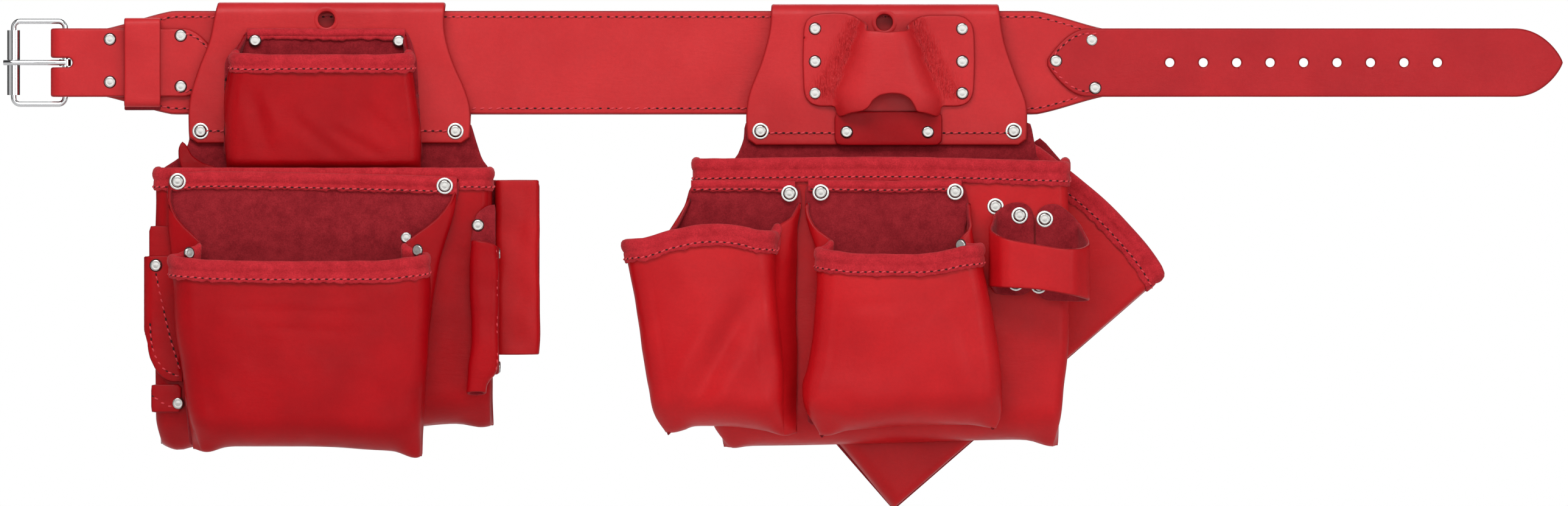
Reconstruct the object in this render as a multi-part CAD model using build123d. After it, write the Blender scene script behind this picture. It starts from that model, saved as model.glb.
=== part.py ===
from build123d import *

import os

# Leather tool belt with two hanging tool bags, laid out flat as it is worn.
# Units are millimetres.  +X runs along the belt towards the tail, +Z is up, and the
# front of the belt faces -Y.  The origin is the middle of the pad's back face.
# "forward" is the distance in front of that face, so y = -forward.

# ---- driving dimensions ------------------------------------------------------------
STRAP_HALF = 25.4          # half the height of the strap
STRAP_THICK = 3.5
PAD_HALF = 38.1            # half the height of the waist pad
PAD_LAYER = 3.2            # each of the pad's two layers
PAD_SHOULDER = 320.0       # where the pad starts to taper
PAD_END = 370.0
PAD_END_HALF = 24.8
FLEX_X = 30.0              # distance of the pad's two flex lines from the middle
FLEX_GAP = 1.2

FLAP_THICK = 3.5
FLAP_INNER = 13.0          # forward position of the tunnel flap's inner face
TUNNEL_SEAM_Z = -40.5      # where the tunnel's rear layer turns forward to the back panel
TUNNEL_REAR = -1.2         # forward position of the tunnel's rear layer, inner face
SUEDE = 3.0                # back panels
SHELL = 3.0                # pouch walls
BINDING = 2.0
BINDING_DEPTH = 15.0
BAG_BOTTOM = -284.0
MAIN_DEPTH = 40.0
MAIN_CORNER = 5.5
POCKET_DEPTH = 36.0

HOLE_PITCH = 24.8
FIRST_HOLE_X = 419.2
HOLE_RADIUS = 3.3
TAIL_TIP_X = 712.3
TAIL_HINGES = (394.0, 481.2, 555.6, 630.0)
HANG_HOLE_RADIUS = 6.0

WIRE = 2.0                 # radius of the buckle's wire
BAR_X = -399.8
ROLLER_X = -438.0
BAR_FORWARD = 6.0
FRAME_HALF = 30.75         # half the frame's height, to the wire's centre line
ROLLER_RADIUS = 4.7
ROLLER_LENGTH = 48.0
RUNNING = 0.06             # radial clearance of the roller and the prong
SLOT_HEIGHT = 6.9
SLOT_END_X = -394.0

RIVET_HEAD = 4.1
RIVET_HEAD_THICK = 1.2
RIVET_SHANK = 1.5
RIVET_TAIL = 3.0
RIVET_TAIL_THICK = 0.7
RIVET_PLAY = 0.05
WASHER_RADIUS = 6.2
WASHER_THICK = 0.6

# ---- layers, counted forward from the pad's back face ------------------------------
PAD_FRONT = 2 * PAD_LAYER
STRAP_FRONT = PAD_FRONT + STRAP_THICK
RAISED_BACK = PAD_FRONT + 2.2           # the strap where the keeper passes behind it
RAISED_FRONT = RAISED_BACK + STRAP_THICK
FLAP_FRONT = FLAP_INNER + FLAP_THICK
PANEL_BACK = FLAP_INNER - SUEDE
TOP_PANEL_FRONT = FLAP_FRONT + SUEDE
MAIN_FRONT = FLAP_INNER + MAIN_DEPTH
POCKET_PANEL_BACK = MAIN_FRONT + BINDING
POCKET_BACK = POCKET_PANEL_BACK + SUEDE
REACH = 150.0                           # longer than any cut through the object
CUT = 1.0                               # how far a cut runs past the face it starts from

PARTS = {}


# ---- helpers -----------------------------------------------------------------------
def plate(points, back, front, radius=0.0):
    """Flat sheet parallel to the belt, from its outline in X and Z."""
    if radius:
        outline = FilletPolyline(*points, radius=radius, close=True)
    else:
        outline = Polyline(*points, close=True)
    return extrude(Plane.XZ.offset(back) * make_face(outline), front - back)


def block(x_low, x_high, z_low, z_high, back, front):
    """Rectangular block from its limits in X, Z and forward."""
    size = Box(x_high - x_low, front - back, z_high - z_low)
    return Pos((x_low + x_high) / 2, -(back + front) / 2, (z_low + z_high) / 2) * size


def bent_sheet(plane, points, radii, thick, width):
    """Sheet bent along a path drawn in a plane, width wide across that plane."""
    path = FilletPolyline(*points, radius=radii)
    return extrude(plane * trace(path, line_width=thick), width / 2, both=True)


def drilled(part, spots, radius):
    """Part with a round hole through it, front to back, at each spot."""
    for x, z in spots:
        part -= Pos(x, 0, z) * Rot(90, 0, 0) * Cylinder(radius, 2 * REACH)
    return part


def disc(x, z, radius, back, front):
    """Round disc parallel to the belt."""
    return Pos(x, -(back + front) / 2, z) * Rot(90, 0, 0) * Cylinder(radius, front - back)


def rivet(x, z, front, back):
    """Rivet with its head on the front face and its tail cap on the back face."""
    head = disc(x, z, RIVET_HEAD, front, front + RIVET_HEAD_THICK)
    head = fillet(head.edges().filter_by(GeomType.CIRCLE).sort_by(Axis.Y)[0], 0.8)
    shank = disc(x, z, RIVET_SHANK, back, front)
    tail = disc(x, z, RIVET_TAIL, back - RIVET_TAIL_THICK, back)
    return head + shank + tail


def washer(x, z, back):
    """Washer under a rivet's head."""
    ring = disc(x, z, WASHER_RADIUS, back, back + WASHER_THICK)
    return ring - disc(x, z, RIVET_SHANK + RIVET_PLAY, back - 1, back + 1 + WASHER_THICK)


def turned_left(part, forward, z):
    """A part made at the origin facing forward, turned to face -X and put in its place."""
    return Pos(0, -forward, z) * Rot(0, 0, -90) * part


def turned_right(part, forward, z):
    """A part made at the origin facing forward, turned to face +X and put in its place."""
    return Pos(0, -forward, z) * Rot(0, 0, 90) * part


def cross_hole(part, x_low, x_high, forward, z):
    """Part with a shank hole along X between two positions."""
    return part - Pos((x_low + x_high) / 2, -forward, z) * Rot(0, 90, 0) * Cylinder(SHANK_HOLE, x_high - x_low)


def group(solids):
    """Separate solids kept together in one node."""
    return Compound(children=[Solid(s.solid().wrapped) for s in solids])


def plan_section(z, rear, front_pair, back, front, corner):
    """Pouch cut across at height z: open at the back, round at its front corners."""
    outline = Polyline(
        (rear[0], -back), (front_pair[0], -front), (front_pair[1], -front), (rear[1], -back), close=True
    )
    face = make_face(outline)
    corners = face.vertices().sort_by(Axis.Y)[:2]
    return Pos(0, 0, z) * fillet(corners, corner)


def pouch_block(levels, back, depth, grow, corner, top_extra=0.0, bottom_extra=0.0):
    """Solid block of a pouch, from levels of (z, rear x pair, front x pair), bottom first."""
    sections = []
    last = len(levels) - 1
    for index, (z, rear, front_pair) in enumerate(levels):
        if index == 0:
            z -= bottom_extra
        if index == last:
            z += top_extra
        wide_rear = (rear[0] - grow, rear[1] + grow)
        wide_front = (front_pair[0] - grow, front_pair[1] + grow)
        sections.append(plan_section(z, wide_rear, wide_front, back, back + depth + grow, corner + grow))
    return loft(sections, ruled=True)


def pouch_shell(levels, back, depth, corner=14.0, wall=SHELL):
    """Walls and bottom of a pouch that its back panel closes."""
    outside = pouch_block(levels, back, depth, 0.0, corner)
    inside = pouch_block(levels, back - 1.0, depth + 1.0, -wall, corner, 5.0, -wall)
    return outside - inside


def rim_binding(shell, levels, back, depth, corner=14.0, wall=SHELL, drop=BINDING_DEPTH):
    """Strip folded over a pouch's rim, inside and out."""
    z_top, rear, front_pair = levels[-1]
    lower = z_top - drop
    upper = z_top + BINDING

    def slab(grow, low, high):
        rim = [(low, rear, front_pair), (high, rear, front_pair)]
        return pouch_block(rim, back, depth, grow, corner)

    outside = slab(BINDING, lower, upper)
    inside = pouch_block(
        [(lower - 1, rear, front_pair), (upper + 1, rear, front_pair)],
        back - 1.0, depth + 1.0, -wall - BINDING, corner,
    )
    return outside - inside - shell


def ring_tube(x_low, x_high, z_low, z_high, back, front, wall, corner):
    """Flattened upright tube, open at both ends."""
    centre = Pos((x_low + x_high) / 2, -(back + front) / 2, z_low)
    wide = x_high - x_low
    deep = front - back
    outside = RectangleRounded(wide, deep, corner)
    inside = RectangleRounded(wide - 2 * wall, deep - 2 * wall, corner - wall)
    return centre * extrude(outside - inside, z_high - z_low)


# ---- waist pad: two leather layers in three sections -------------------------------
def pad_outline():
    half_end = PAD_END_HALF
    return [
        (-PAD_END, -half_end), (-PAD_SHOULDER, -PAD_HALF), (PAD_SHOULDER, -PAD_HALF), (PAD_END, -half_end),
        (PAD_END, half_end), (PAD_SHOULDER, PAD_HALF), (-PAD_SHOULDER, PAD_HALF), (-PAD_END, half_end),
    ]


STRAP_TAIL_X = -358.0      # rear end of the buckle strap, behind the pad
STRAP_RIVETS = [(-366.4, 17.3), (-366.4, -14.4)]
PAD_RIVETS = [(-314.0, 20.0), (-314.0, -17.7)]
TAIL_RIVETS = [(361.4, 16.7), (334.8, 1.2), (363.8, -18.8)]
SHANK_HOLE = RIVET_SHANK + RIVET_PLAY


def make_pad():
    edge = FLEX_X - FLEX_GAP / 2
    spans = {
        "left": (-PAD_END - 1, -FLEX_X - FLEX_GAP / 2),
        "centre": (-edge, edge),
        "right": (FLEX_X + FLEX_GAP / 2, PAD_END + 1),
    }
    layers = {"pad_lining": (0.0, PAD_LAYER), "pad_face": (PAD_LAYER, PAD_FRONT)}
    for layer, (back, front) in layers.items():
        sheet = drilled(plate(pad_outline(), back, front), STRAP_RIVETS + PAD_RIVETS + TAIL_RIVETS, SHANK_HOLE)
        for side, (low, high) in spans.items():
            window = block(low, high, -PAD_HALF - 1, PAD_HALF + 1, back - 1, front + 1)
            PARTS[f"{layer}_{side}"] = sheet & window


# ---- buckle end --------------------------------------------------------------------
FOLD_X = -410.5
SEWN_TIP_X = -286.0
FOLD_INNER = BAR_FORWARD - (RAISED_BACK - BAR_FORWARD)


def make_buckle_strap():
    middle = PAD_FRONT + STRAP_THICK / 2
    raised = RAISED_BACK + STRAP_THICK / 2
    turned = FOLD_INNER - STRAP_THICK / 2
    fold = FOLD_X + STRAP_THICK / 2
    route = [
        (SEWN_TIP_X, -middle), (-321.0, -middle), (-328.0, -raised), (fold, -raised),
        (fold, -turned), (-396.0, -turned), (-377.0, STRAP_THICK / 2), (STRAP_TAIL_X, STRAP_THICK / 2),
    ]
    turn = (raised - turned) / 2 - 0.05
    strap = bent_sheet(Plane.XY, route, [6.0, 6.0, turn, turn, 12.0, 12.0], STRAP_THICK, 2 * STRAP_HALF)
    pointed = [
        (FOLD_X - 1, -STRAP_HALF), (-312.0, -STRAP_HALF), (SEWN_TIP_X, -6.0), (SEWN_TIP_X, 6.0),
        (-312.0, STRAP_HALF), (FOLD_X - 1, STRAP_HALF),
    ]
    strap = strap & plate(pointed, -REACH, REACH)
    end_radius = SLOT_HEIGHT / 2
    round_end = SLOT_END_X - end_radius
    slot = block(FOLD_X - 1, round_end, -end_radius, end_radius, -REACH, REACH)
    slot += disc(round_end, 0, end_radius, -REACH, REACH)
    PARTS["buckle_strap"] = drilled(strap - slot, STRAP_RIVETS + PAD_RIVETS, SHANK_HOLE)
    heads = [rivet(x, z, RAISED_FRONT, -STRAP_THICK) for x, z in STRAP_RIVETS]
    heads += [rivet(x, z, STRAP_FRONT, 0.0) for x, z in PAD_RIVETS]
    PARTS["buckle_end_rivets"] = group(heads)


KEEPER_X = (-355.7, -328.7)
KEEPER_HALF = 33.0
KEEPER_WALL = 2.5
KEEPER_REAR = 1.7          # its thinner rear layer
KEEPER_ROOM = 3.6          # room for the tail to pass through


def make_keeper():
    low, high = KEEPER_X
    back = PAD_FRONT + 0.25
    front = RAISED_FRONT + STRAP_THICK + KEEPER_ROOM
    outside = block(low, high, -KEEPER_HALF, KEEPER_HALF, back, front)
    inner_half = KEEPER_HALF - KEEPER_WALL
    inside = block(low - CUT, high + CUT, -inner_half, inner_half, back + KEEPER_REAR, front - KEEPER_WALL)
    PARTS["keeper_loop"] = outside - inside


def make_buckle():
    plane = Plane.XZ.offset(BAR_FORWARD)
    corners = [
        (ROLLER_X, 0), (ROLLER_X, FRAME_HALF), (BAR_X, FRAME_HALF), (BAR_X, -FRAME_HALF), (ROLLER_X, -FRAME_HALF),
    ]
    rounds = [5.0] * (len(corners) - 1)
    path = plane * FilletPolyline(*corners, (ROLLER_X, -0.001), radius=rounds)
    start = Plane(path @ 0, z_dir=path % 0)
    frame = sweep(start * Circle(WIRE), path)
    frame += Pos(ROLLER_X, -BAR_FORWARD, 0) * Cylinder(WIRE, 2 * FRAME_HALF - 12)
    PARTS["buckle_frame"] = frame

    roller = Cylinder(ROLLER_RADIUS, ROLLER_LENGTH) - Cylinder(WIRE + RUNNING, ROLLER_LENGTH + 2)
    PARTS["buckle_roller"] = Pos(ROLLER_X, -BAR_FORWARD, 0) * roller

    over_roller = BAR_FORWARD + ROLLER_RADIUS + WIRE + 0.4
    route = [
        (BAR_X + 0.5, -BAR_FORWARD - 3.2), (BAR_X - 6.0, -BAR_FORWARD - 3.4), (ROLLER_X + 14.0, -over_roller),
        (ROLLER_X - 1.0, -over_roller), (ROLLER_X - 7.0, -over_roller + 1.6),
    ]
    route_path = FilletPolyline(*route, radius=[20.0, 20.0, 6.0])
    first = Plane(route_path @ 0, z_dir=route_path % 0)
    stem = sweep(first * Circle(WIRE), route_path)
    eye = Pos(BAR_X, -BAR_FORWARD, 0) * Cylinder(WIRE + 2.3, 5.0)
    bore = Pos(BAR_X, -BAR_FORWARD, 0) * Cylinder(WIRE + RUNNING, 12.0)
    PARTS["buckle_prong"] = eye + stem - bore


# ---- tail strap --------------------------------------------------------------------
TAIL_START_X = 328.3
TAIL_TIP_ROUND = 10.0
HOLE_COUNT = 9


def make_tail():
    outline = [
        (TAIL_START_X, -4.0), (354.0, -STRAP_HALF), (TAIL_TIP_X - 30.0, -STRAP_HALF),
        (TAIL_TIP_X - 8.0, -13.0), (TAIL_TIP_X, 0.0), (TAIL_TIP_X - 8.0, 13.0),
        (TAIL_TIP_X - 30.0, STRAP_HALF), (354.0, STRAP_HALF), (TAIL_START_X, 4.0),
    ]
    strap = plate(outline, PAD_FRONT, STRAP_FRONT)
    strap = fillet(strap.edges().filter_by(Axis.Y).group_by(Axis.X)[-1], TAIL_TIP_ROUND)
    holes = [(FIRST_HOLE_X + HOLE_PITCH * number, 0.0) for number in range(HOLE_COUNT)]
    strap = drilled(drilled(strap, holes, HOLE_RADIUS), TAIL_RIVETS, SHANK_HOLE)
    names = ["tail_strap_base", "tail_strap_1", "tail_strap_2", "tail_strap_3", "tail_strap_tip"]
    edges = [TAIL_START_X - 1, *TAIL_HINGES, TAIL_TIP_X + 1]
    for number, name in enumerate(names):
        low = edges[number] + (FLEX_GAP / 2 if number else 0.0)
        high = edges[number + 1] - (FLEX_GAP / 2 if number < len(names) - 1 else 0.0)
        window = block(low, high, -STRAP_HALF - 1, STRAP_HALF + 1, PAD_FRONT - 1, STRAP_FRONT + 1)
        PARTS[name] = strap & window
    PARTS["tail_end_rivets"] = group([rivet(x, z, STRAP_FRONT, 0.0) for x, z in TAIL_RIVETS])


# ---- belt tunnels ------------------------------------------------------------------
def belt_tunnel(outline, top, bottom, hang_hole, rivets):
    """Leather folded over the belt, hanging in front of it and behind it."""
    half = FLAP_THICK / 2
    front = -(FLAP_INNER + half)
    rear = -(TUNNEL_REAR - half)
    joined = -(PANEL_BACK - half)
    route = [
        (front, bottom), (front, top - half), (rear, top - half), (rear, TUNNEL_SEAM_Z),
        (joined, TUNNEL_SEAM_Z - 5.5), (joined, TUNNEL_SEAM_Z - 16.5),
    ]
    middle = (outline[0][0] + outline[-1][0]) / 2
    plane = Plane.YZ.offset(middle)
    fold = bent_sheet(plane, route, [8.0, 3.0, 3.0, 3.0], FLAP_THICK, 2 * REACH)
    sheet = fold & plate(outline, -REACH, REACH)
    sheet = drilled(sheet, rivets, SHANK_HOLE)
    eye = disc(hang_hole[0], hang_hole[1], HANG_HOLE_RADIUS, FLAP_INNER - 1, FLAP_FRONT + 1)
    return sheet - eye


LEFT_TUNNEL_RIVETS = [(-299.1, -50.8), (-110.3, -50.8)]
RIGHT_TUNNEL_RIVETS = [(115.8, -50.8), (303.4, -50.8)]
LEFT_HANG = (-205.9, 32.0)
RIGHT_HANG = (207.6, 29.8)


def washered(name, spots, leather_front, leather_back):
    """Rivets with washers, as two nodes."""
    head_back = leather_front + WASHER_THICK
    PARTS[f"{name}_rivets"] = group([rivet(x, z, head_back, leather_back) for x, z in spots])
    PARTS[f"{name}_washers"] = group([washer(x, z, leather_front) for x, z in spots])


TOP_POCKET_RIVETS = [(-258.6, 16.1), (-152.1, 15.8)]


def make_left_tunnel():
    outline = [
        (-286.7, 45.5), (-289.8, 32.4), (-300.2, -3.4), (-307.9, -37.7), (-307.7, -60.0), (-99.5, -60.0),
        (-99.5, -31.7), (-110.7, -3.4), (-118.8, 29.5), (-117.7, 45.5),
    ]
    tunnel = belt_tunnel(outline, 44.7, -60.0, LEFT_HANG, LEFT_TUNNEL_RIVETS)
    stem_holes = group([disc(x, z, SHANK_HOLE, FLAP_INNER - 1, FLAP_FRONT + 1) for x, z in TOP_POCKET_RIVETS])
    PARTS["left_belt_tunnel"] = tunnel - stem_holes
    washered("left_tunnel", LEFT_TUNNEL_RIVETS, FLAP_FRONT, PANEL_BACK - FLAP_THICK)


def make_right_tunnel():
    outline = [
        (123.8, 44.5), (122.6, 24.6), (116.8, 1.8), (106.4, -26.0), (106.2, -61.5), (313.3, -61.5),
        (313.3, -34.0), (304.2, -7.8), (295.9, 17.6), (293.0, 44.5),
    ]
    through = RIGHT_TUNNEL_RIVETS + HOLDER_LOW_RIVETS
    tunnel = belt_tunnel(outline, 43.3, -61.5, RIGHT_HANG, through)
    stem_holes = group([disc(x, z, SHANK_HOLE, FLAP_INNER - 1, FLAP_FRONT + 1) for x, z in HOLDER_RIVETS])
    PARTS["right_belt_tunnel"] = tunnel - stem_holes
    washered("right_tunnel", RIGHT_TUNNEL_RIVETS, FLAP_FRONT, PANEL_BACK - FLAP_THICK)


# ---- left bag ----------------------------------------------------------------------
LEFT_RIM = -80.0
LEFT_MAIN = [
    (BAG_BOTTOM, (-330.0, -84.0), (-328.0, -87.0)),
    (LEFT_RIM, (-332.4, -82.8), (-331.0, -84.0)),
]
FRONT_POUCH = [
    (BAG_BOTTOM - 2.0, (-306.0, -134.0), (-296.0, -142.0)),
    (-146.7, (-321.4, -128.5), (-315.0, -135.0)),
]
TOP_POCKET = [
    (-84.0, (-280.0, -136.0), (-272.0, -142.0)),
    (4.0, (-277.3, -141.8), (-274.0, -145.0)),
]
TOP_POCKET_DEPTH = 25.0
FRONT_POUCH_RIVETS = [(-314.8, -88.2), (-117.5, -91.5)]
FRONT_POUCH_SMALL = [(-304.8, -133.0), (-136.4, -133.0)]
SIDE_RIVET = (-314.6, -252.2)


def make_left_back_panel():
    outline = [
        (-304.0, -47.0), (-306.0, -60.0), (-312.0, -72.0), (-332.4, -80.0), (-330.0, BAG_BOTTOM),
        (-84.0, BAG_BOTTOM), (-82.8, -80.0), (-90.5, -72.0), (-95.0, -58.0), (-101.0, -47.0),
    ]
    panel = plate(outline, PANEL_BACK, FLAP_INNER)
    spots = LEFT_TUNNEL_RIVETS + SHEATH_RIVETS
    PARTS["left_back_panel"] = drilled(panel, spots, SHANK_HOLE)


def make_top_pocket():
    outline = [(-265.0, 24.3), (-280.0, 4.0), (-282.0, -70.0), (-134.5, -70.0), (-139.5, 4.0), (-146.5, 24.3)]
    panel = plate(outline, FLAP_FRONT, TOP_PANEL_FRONT)
    PARTS["top_pocket_back"] = drilled(panel, TOP_POCKET_RIVETS, SHANK_HOLE)
    body = pouch_shell(TOP_POCKET, TOP_PANEL_FRONT, TOP_POCKET_DEPTH, 10.0)
    PARTS["top_pocket_body"] = body
    PARTS["top_pocket_binding"] = rim_binding(body, TOP_POCKET, TOP_PANEL_FRONT, TOP_POCKET_DEPTH, 10.0, drop=12.0)
    PARTS["top_pocket_rivets"] = group(
        [rivet(x, z, TOP_PANEL_FRONT, FLAP_INNER) for x, z in TOP_POCKET_RIVETS]
    )


def make_left_pouches():
    spots = FRONT_POUCH_RIVETS + FRONT_POUCH_SMALL + [SIDE_RIVET, TUBE_RIVET]
    body = pouch_shell(LEFT_MAIN, FLAP_INNER, MAIN_DEPTH, MAIN_CORNER)
    for z in SEAM_RIVETS_Z:
        body = cross_hole(body, SEAM_TAIL_X - CUT, SEAM_X, SEAM_RIVET_FORWARD, z)
    binding = rim_binding(body, LEFT_MAIN, FLAP_INNER, MAIN_DEPTH, MAIN_CORNER)
    PARTS["left_pouch_body"] = drilled(body, spots, SHANK_HOLE)
    PARTS["left_pouch_binding"] = drilled(binding, spots, SHANK_HOLE)

    outline = [
        (-320.9, -82.0), (-323.0, -99.4), (-315.8, -116.3), (-300.0, -132.0), (-321.4, -146.7),
        (-306.0, BAG_BOTTOM - 2), (-134.0, BAG_BOTTOM - 2), (-128.5, -146.7), (-133.0, -128.1),
        (-116.1, -114.6), (-107.5, -99.4), (-107.5, -85.8),
    ]
    panel = plate(outline, POCKET_PANEL_BACK, POCKET_BACK)
    PARTS["front_pouch_back"] = drilled(panel, spots, SHANK_HOLE)
    front = pouch_shell(FRONT_POUCH, POCKET_BACK, POCKET_DEPTH)
    PARTS["front_pouch_body"] = front
    PARTS["front_pouch_binding"] = rim_binding(front, FRONT_POUCH, POCKET_BACK, POCKET_DEPTH)

    inner = MAIN_FRONT - SHELL
    bound = inner - BINDING
    large = [rivet(x, z, POCKET_BACK + WASHER_THICK, bound) for x, z in FRONT_POUCH_RIVETS]
    small = [rivet(x, z, POCKET_BACK, inner) for x, z in FRONT_POUCH_SMALL]
    side = [rivet(*SIDE_RIVET, MAIN_FRONT + SUEDE, inner), rivet(*TUBE_RIVET, MAIN_FRONT + SUEDE, inner)]
    seam = [turned_right(rivet(0, 0, SEAM_X, SEAM_TAIL_X), SEAM_RIVET_FORWARD, z) for z in SEAM_RIVETS_Z]
    PARTS["left_pouch_rivets"] = group(large + small + side + seam)
    PARTS["left_pouch_washers"] = group([washer(x, z, POCKET_BACK) for x, z in FRONT_POUCH_RIVETS])


SHEATH_RIVETS = [(-97.0, -110.0), (-97.0, -190.0)]
TUBE_RIVET = (-93.0, -120.6)
TUBE_X = (-99.0, -77.6)
TUBE_Z = (-245.0, -134.0)
TUBE_DEPTH = 15.0
SEAM_X = TUBE_X[1]         # outer face of the tube's seam, folded back along the pouch's side
SEAM_THICK = 5.0
SEAM_TAIL_X = -89.5        # where its rivets end inside the pouch
SEAM_RIVET_FORWARD = 43.5
SEAM_RIVETS_Z = (-141.6, -225.4)
SHEATH_X = (-79.8, -48.0)
SHEATH_Z = (-216.4, -87.0)
SHEATH_BACK_X = -106.0
SHEATH_DEPTH = 11.0
HOLDER_WALL = 2.5


def make_left_holders():
    z_low, z_high = SHEATH_Z
    front = PANEL_BACK + SHEATH_DEPTH
    back_sheet = block(SHEATH_BACK_X, SHEATH_X[1], z_low, z_high, PANEL_BACK - SUEDE, PANEL_BACK)
    tube = block(*SHEATH_X, z_low, z_high, PANEL_BACK, front)
    tube = fillet(tube.edges().filter_by(Axis.Z).group_by(Axis.Y)[0], 4.0)
    inner_x = (SHEATH_X[0] + HOLDER_WALL, SHEATH_X[1] - HOLDER_WALL)
    cavity = block(*inner_x, z_low - CUT, z_high + CUT, PANEL_BACK, front - HOLDER_WALL)
    PARTS["flat_sheath"] = drilled(back_sheet, SHEATH_RIVETS, SHANK_HOLE) + (tube - cavity)
    PARTS["sheath_rivets"] = group(
        [rivet(x, z, FLAP_INNER, PANEL_BACK - SUEDE) for x, z in SHEATH_RIVETS]
    )

    tube_back = MAIN_FRONT + SUEDE
    tab = block(-104.0, -84.0, -150.0, -106.0, MAIN_FRONT, tube_back)
    tube = ring_tube(*TUBE_X, *TUBE_Z, tube_back, tube_back + TUBE_DEPTH, HOLDER_WALL, 7.0)
    seam_low, seam_high = SEAM_RIVETS_Z[1] - 6.5, SEAM_RIVETS_Z[0] + 6.5
    seam = block(SEAM_X - SEAM_THICK, SEAM_X, seam_low, seam_high, SEAM_RIVET_FORWARD - 6.5, tube_back + 8.0)
    tube_inside = block(
        TUBE_X[0] + HOLDER_WALL, TUBE_X[1] - HOLDER_WALL, *TUBE_Z, tube_back + HOLDER_WALL, tube_back + TUBE_DEPTH
    )
    for z in SEAM_RIVETS_Z:
        seam = cross_hole(seam, SEAM_X - SEAM_THICK - CUT, SEAM_X + CUT, SEAM_RIVET_FORWARD, z)
    PARTS["tube_holder"] = drilled(tab, [TUBE_RIVET], SHANK_HOLE) + tube + (seam - tube_inside)

    side_x = LEFT_MAIN[1][1][0]
    loop_back = MAIN_FRONT - 26.0
    loop = ring_tube(side_x - 9.6, side_x, -235.0, -143.0, loop_back, loop_back + 24.0, 2.2, 4.0)
    PARTS["side_tool_loop"] = loop
    band = block(-327.0, -312.0, -259.0, -238.0, MAIN_FRONT, MAIN_FRONT + SUEDE)
    PARTS["side_tool_band"] = drilled(band, [SIDE_RIVET], SHANK_HOLE)


# ---- right bag ---------------------------------------------------------------------
RIGHT_RIM = -73.0
RIGHT_MAIN = [
    (BAG_BOTTOM, (85.0, 337.0), (88.0, 335.0)),
    (RIGHT_RIM, (66.6, 343.2), (68.0, 342.0)),
]
POCKET_A = [
    (-270.5, (40.0, 143.0), (46.0, 131.0)),
    (-124.0, (14.0, 142.5), (16.0, 126.0)),
]
POCKET_B = [
    (-270.5, (149.5, 290.0), (158.0, 286.0)),
    (-141.3, (157.0, 279.5), (162.0, 274.0)),
]
POCKET_RIVETS = [(137.2, -97.2), (160.4, -96.4), (259.7, -95.9)]
SIDE_TAB_X = 65.6          # outer face of pocket A's tab, folded back along the main pouch's side
SIDE_TAB_THICK = 2.6
SIDE_TAB_Z = (-104.0, -91.0)
SIDE_TAB_FORWARD = 43.5
SIDE_TAIL_X = 74.5
HAMMER_UPPER_RIVETS = [(307.3, -113.4), (325.9, -116.0)]
HAMMER_LOWER_RIVETS = [(304.5, -163.0), (321.5, -165.0)]
HAMMER_POUCH_RIVET = (289.5, -106.7)
HAMMER_RIVETS = HAMMER_UPPER_RIVETS + HAMMER_LOWER_RIVETS
HOLDER_RIVETS = [(156.2, 25.0), (156.2, 0.7), (156.2, -22.8), (265.3, 25.0), (265.3, 0.7), (265.3, -22.8)]
HOLDER_LOW_RIVETS = [(179.6, -51.6), (239.8, -51.6)]


def make_right_back_panel():
    outline = [
        (106.0, -47.0), (98.0, -71.0), (66.6, -73.0), (85.0, BAG_BOTTOM), (337.0, BAG_BOTTOM),
        (343.2, -73.0), (321.3, -71.0), (312.0, -47.0),
    ]
    spots = RIGHT_TUNNEL_RIVETS + HOLDER_LOW_RIVETS + HOLSTER_RIVETS
    PARTS["right_back_panel"] = drilled(plate(outline, PANEL_BACK, FLAP_INNER), spots, SHANK_HOLE)


def make_formed_holder():
    wings = plate([(148.2, -32.0), (273.2, -32.0), (273.2, 35.5), (148.2, 35.5)], FLAP_FRONT, FLAP_FRONT + SUEDE, 7.0)
    neck = block(176.0, 246.0, -45.0, -30.0, FLAP_FRONT, FLAP_FRONT + SUEDE)
    tab = plate([(170.6, -61.6), (250.4, -61.6), (250.4, -37.7), (170.6, -37.7)], FLAP_FRONT, FLAP_FRONT + SUEDE, 7.0)
    levels = [
        (-34.0, (172.0, 251.0), (184.0, 240.0)),
        (23.5, (186.0, 234.0), (192.0, 228.0)),
    ]
    outside = pouch_block(levels, FLAP_FRONT, 18.0, 0.0, 9.0)
    inside = pouch_block(levels, FLAP_FRONT - 1.0, 19.0, -SUEDE, 9.0, 20.0, 3.0)
    arch = block(197.0, 231.0, -36.0, -24.0, FLAP_FRONT + 6.0, FLAP_FRONT + 30.0)
    holder = wings + neck + tab + outside - inside - arch
    PARTS["formed_holder"] = drilled(holder, HOLDER_RIVETS + HOLDER_LOW_RIVETS, SHANK_HOLE)
    heads = [rivet(x, z, FLAP_FRONT + SUEDE, FLAP_INNER) for x, z in HOLDER_RIVETS]
    heads += [rivet(x, z, FLAP_FRONT + SUEDE, PANEL_BACK - FLAP_THICK) for x, z in HOLDER_LOW_RIVETS]
    PARTS["formed_holder_rivets"] = group(heads)


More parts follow.
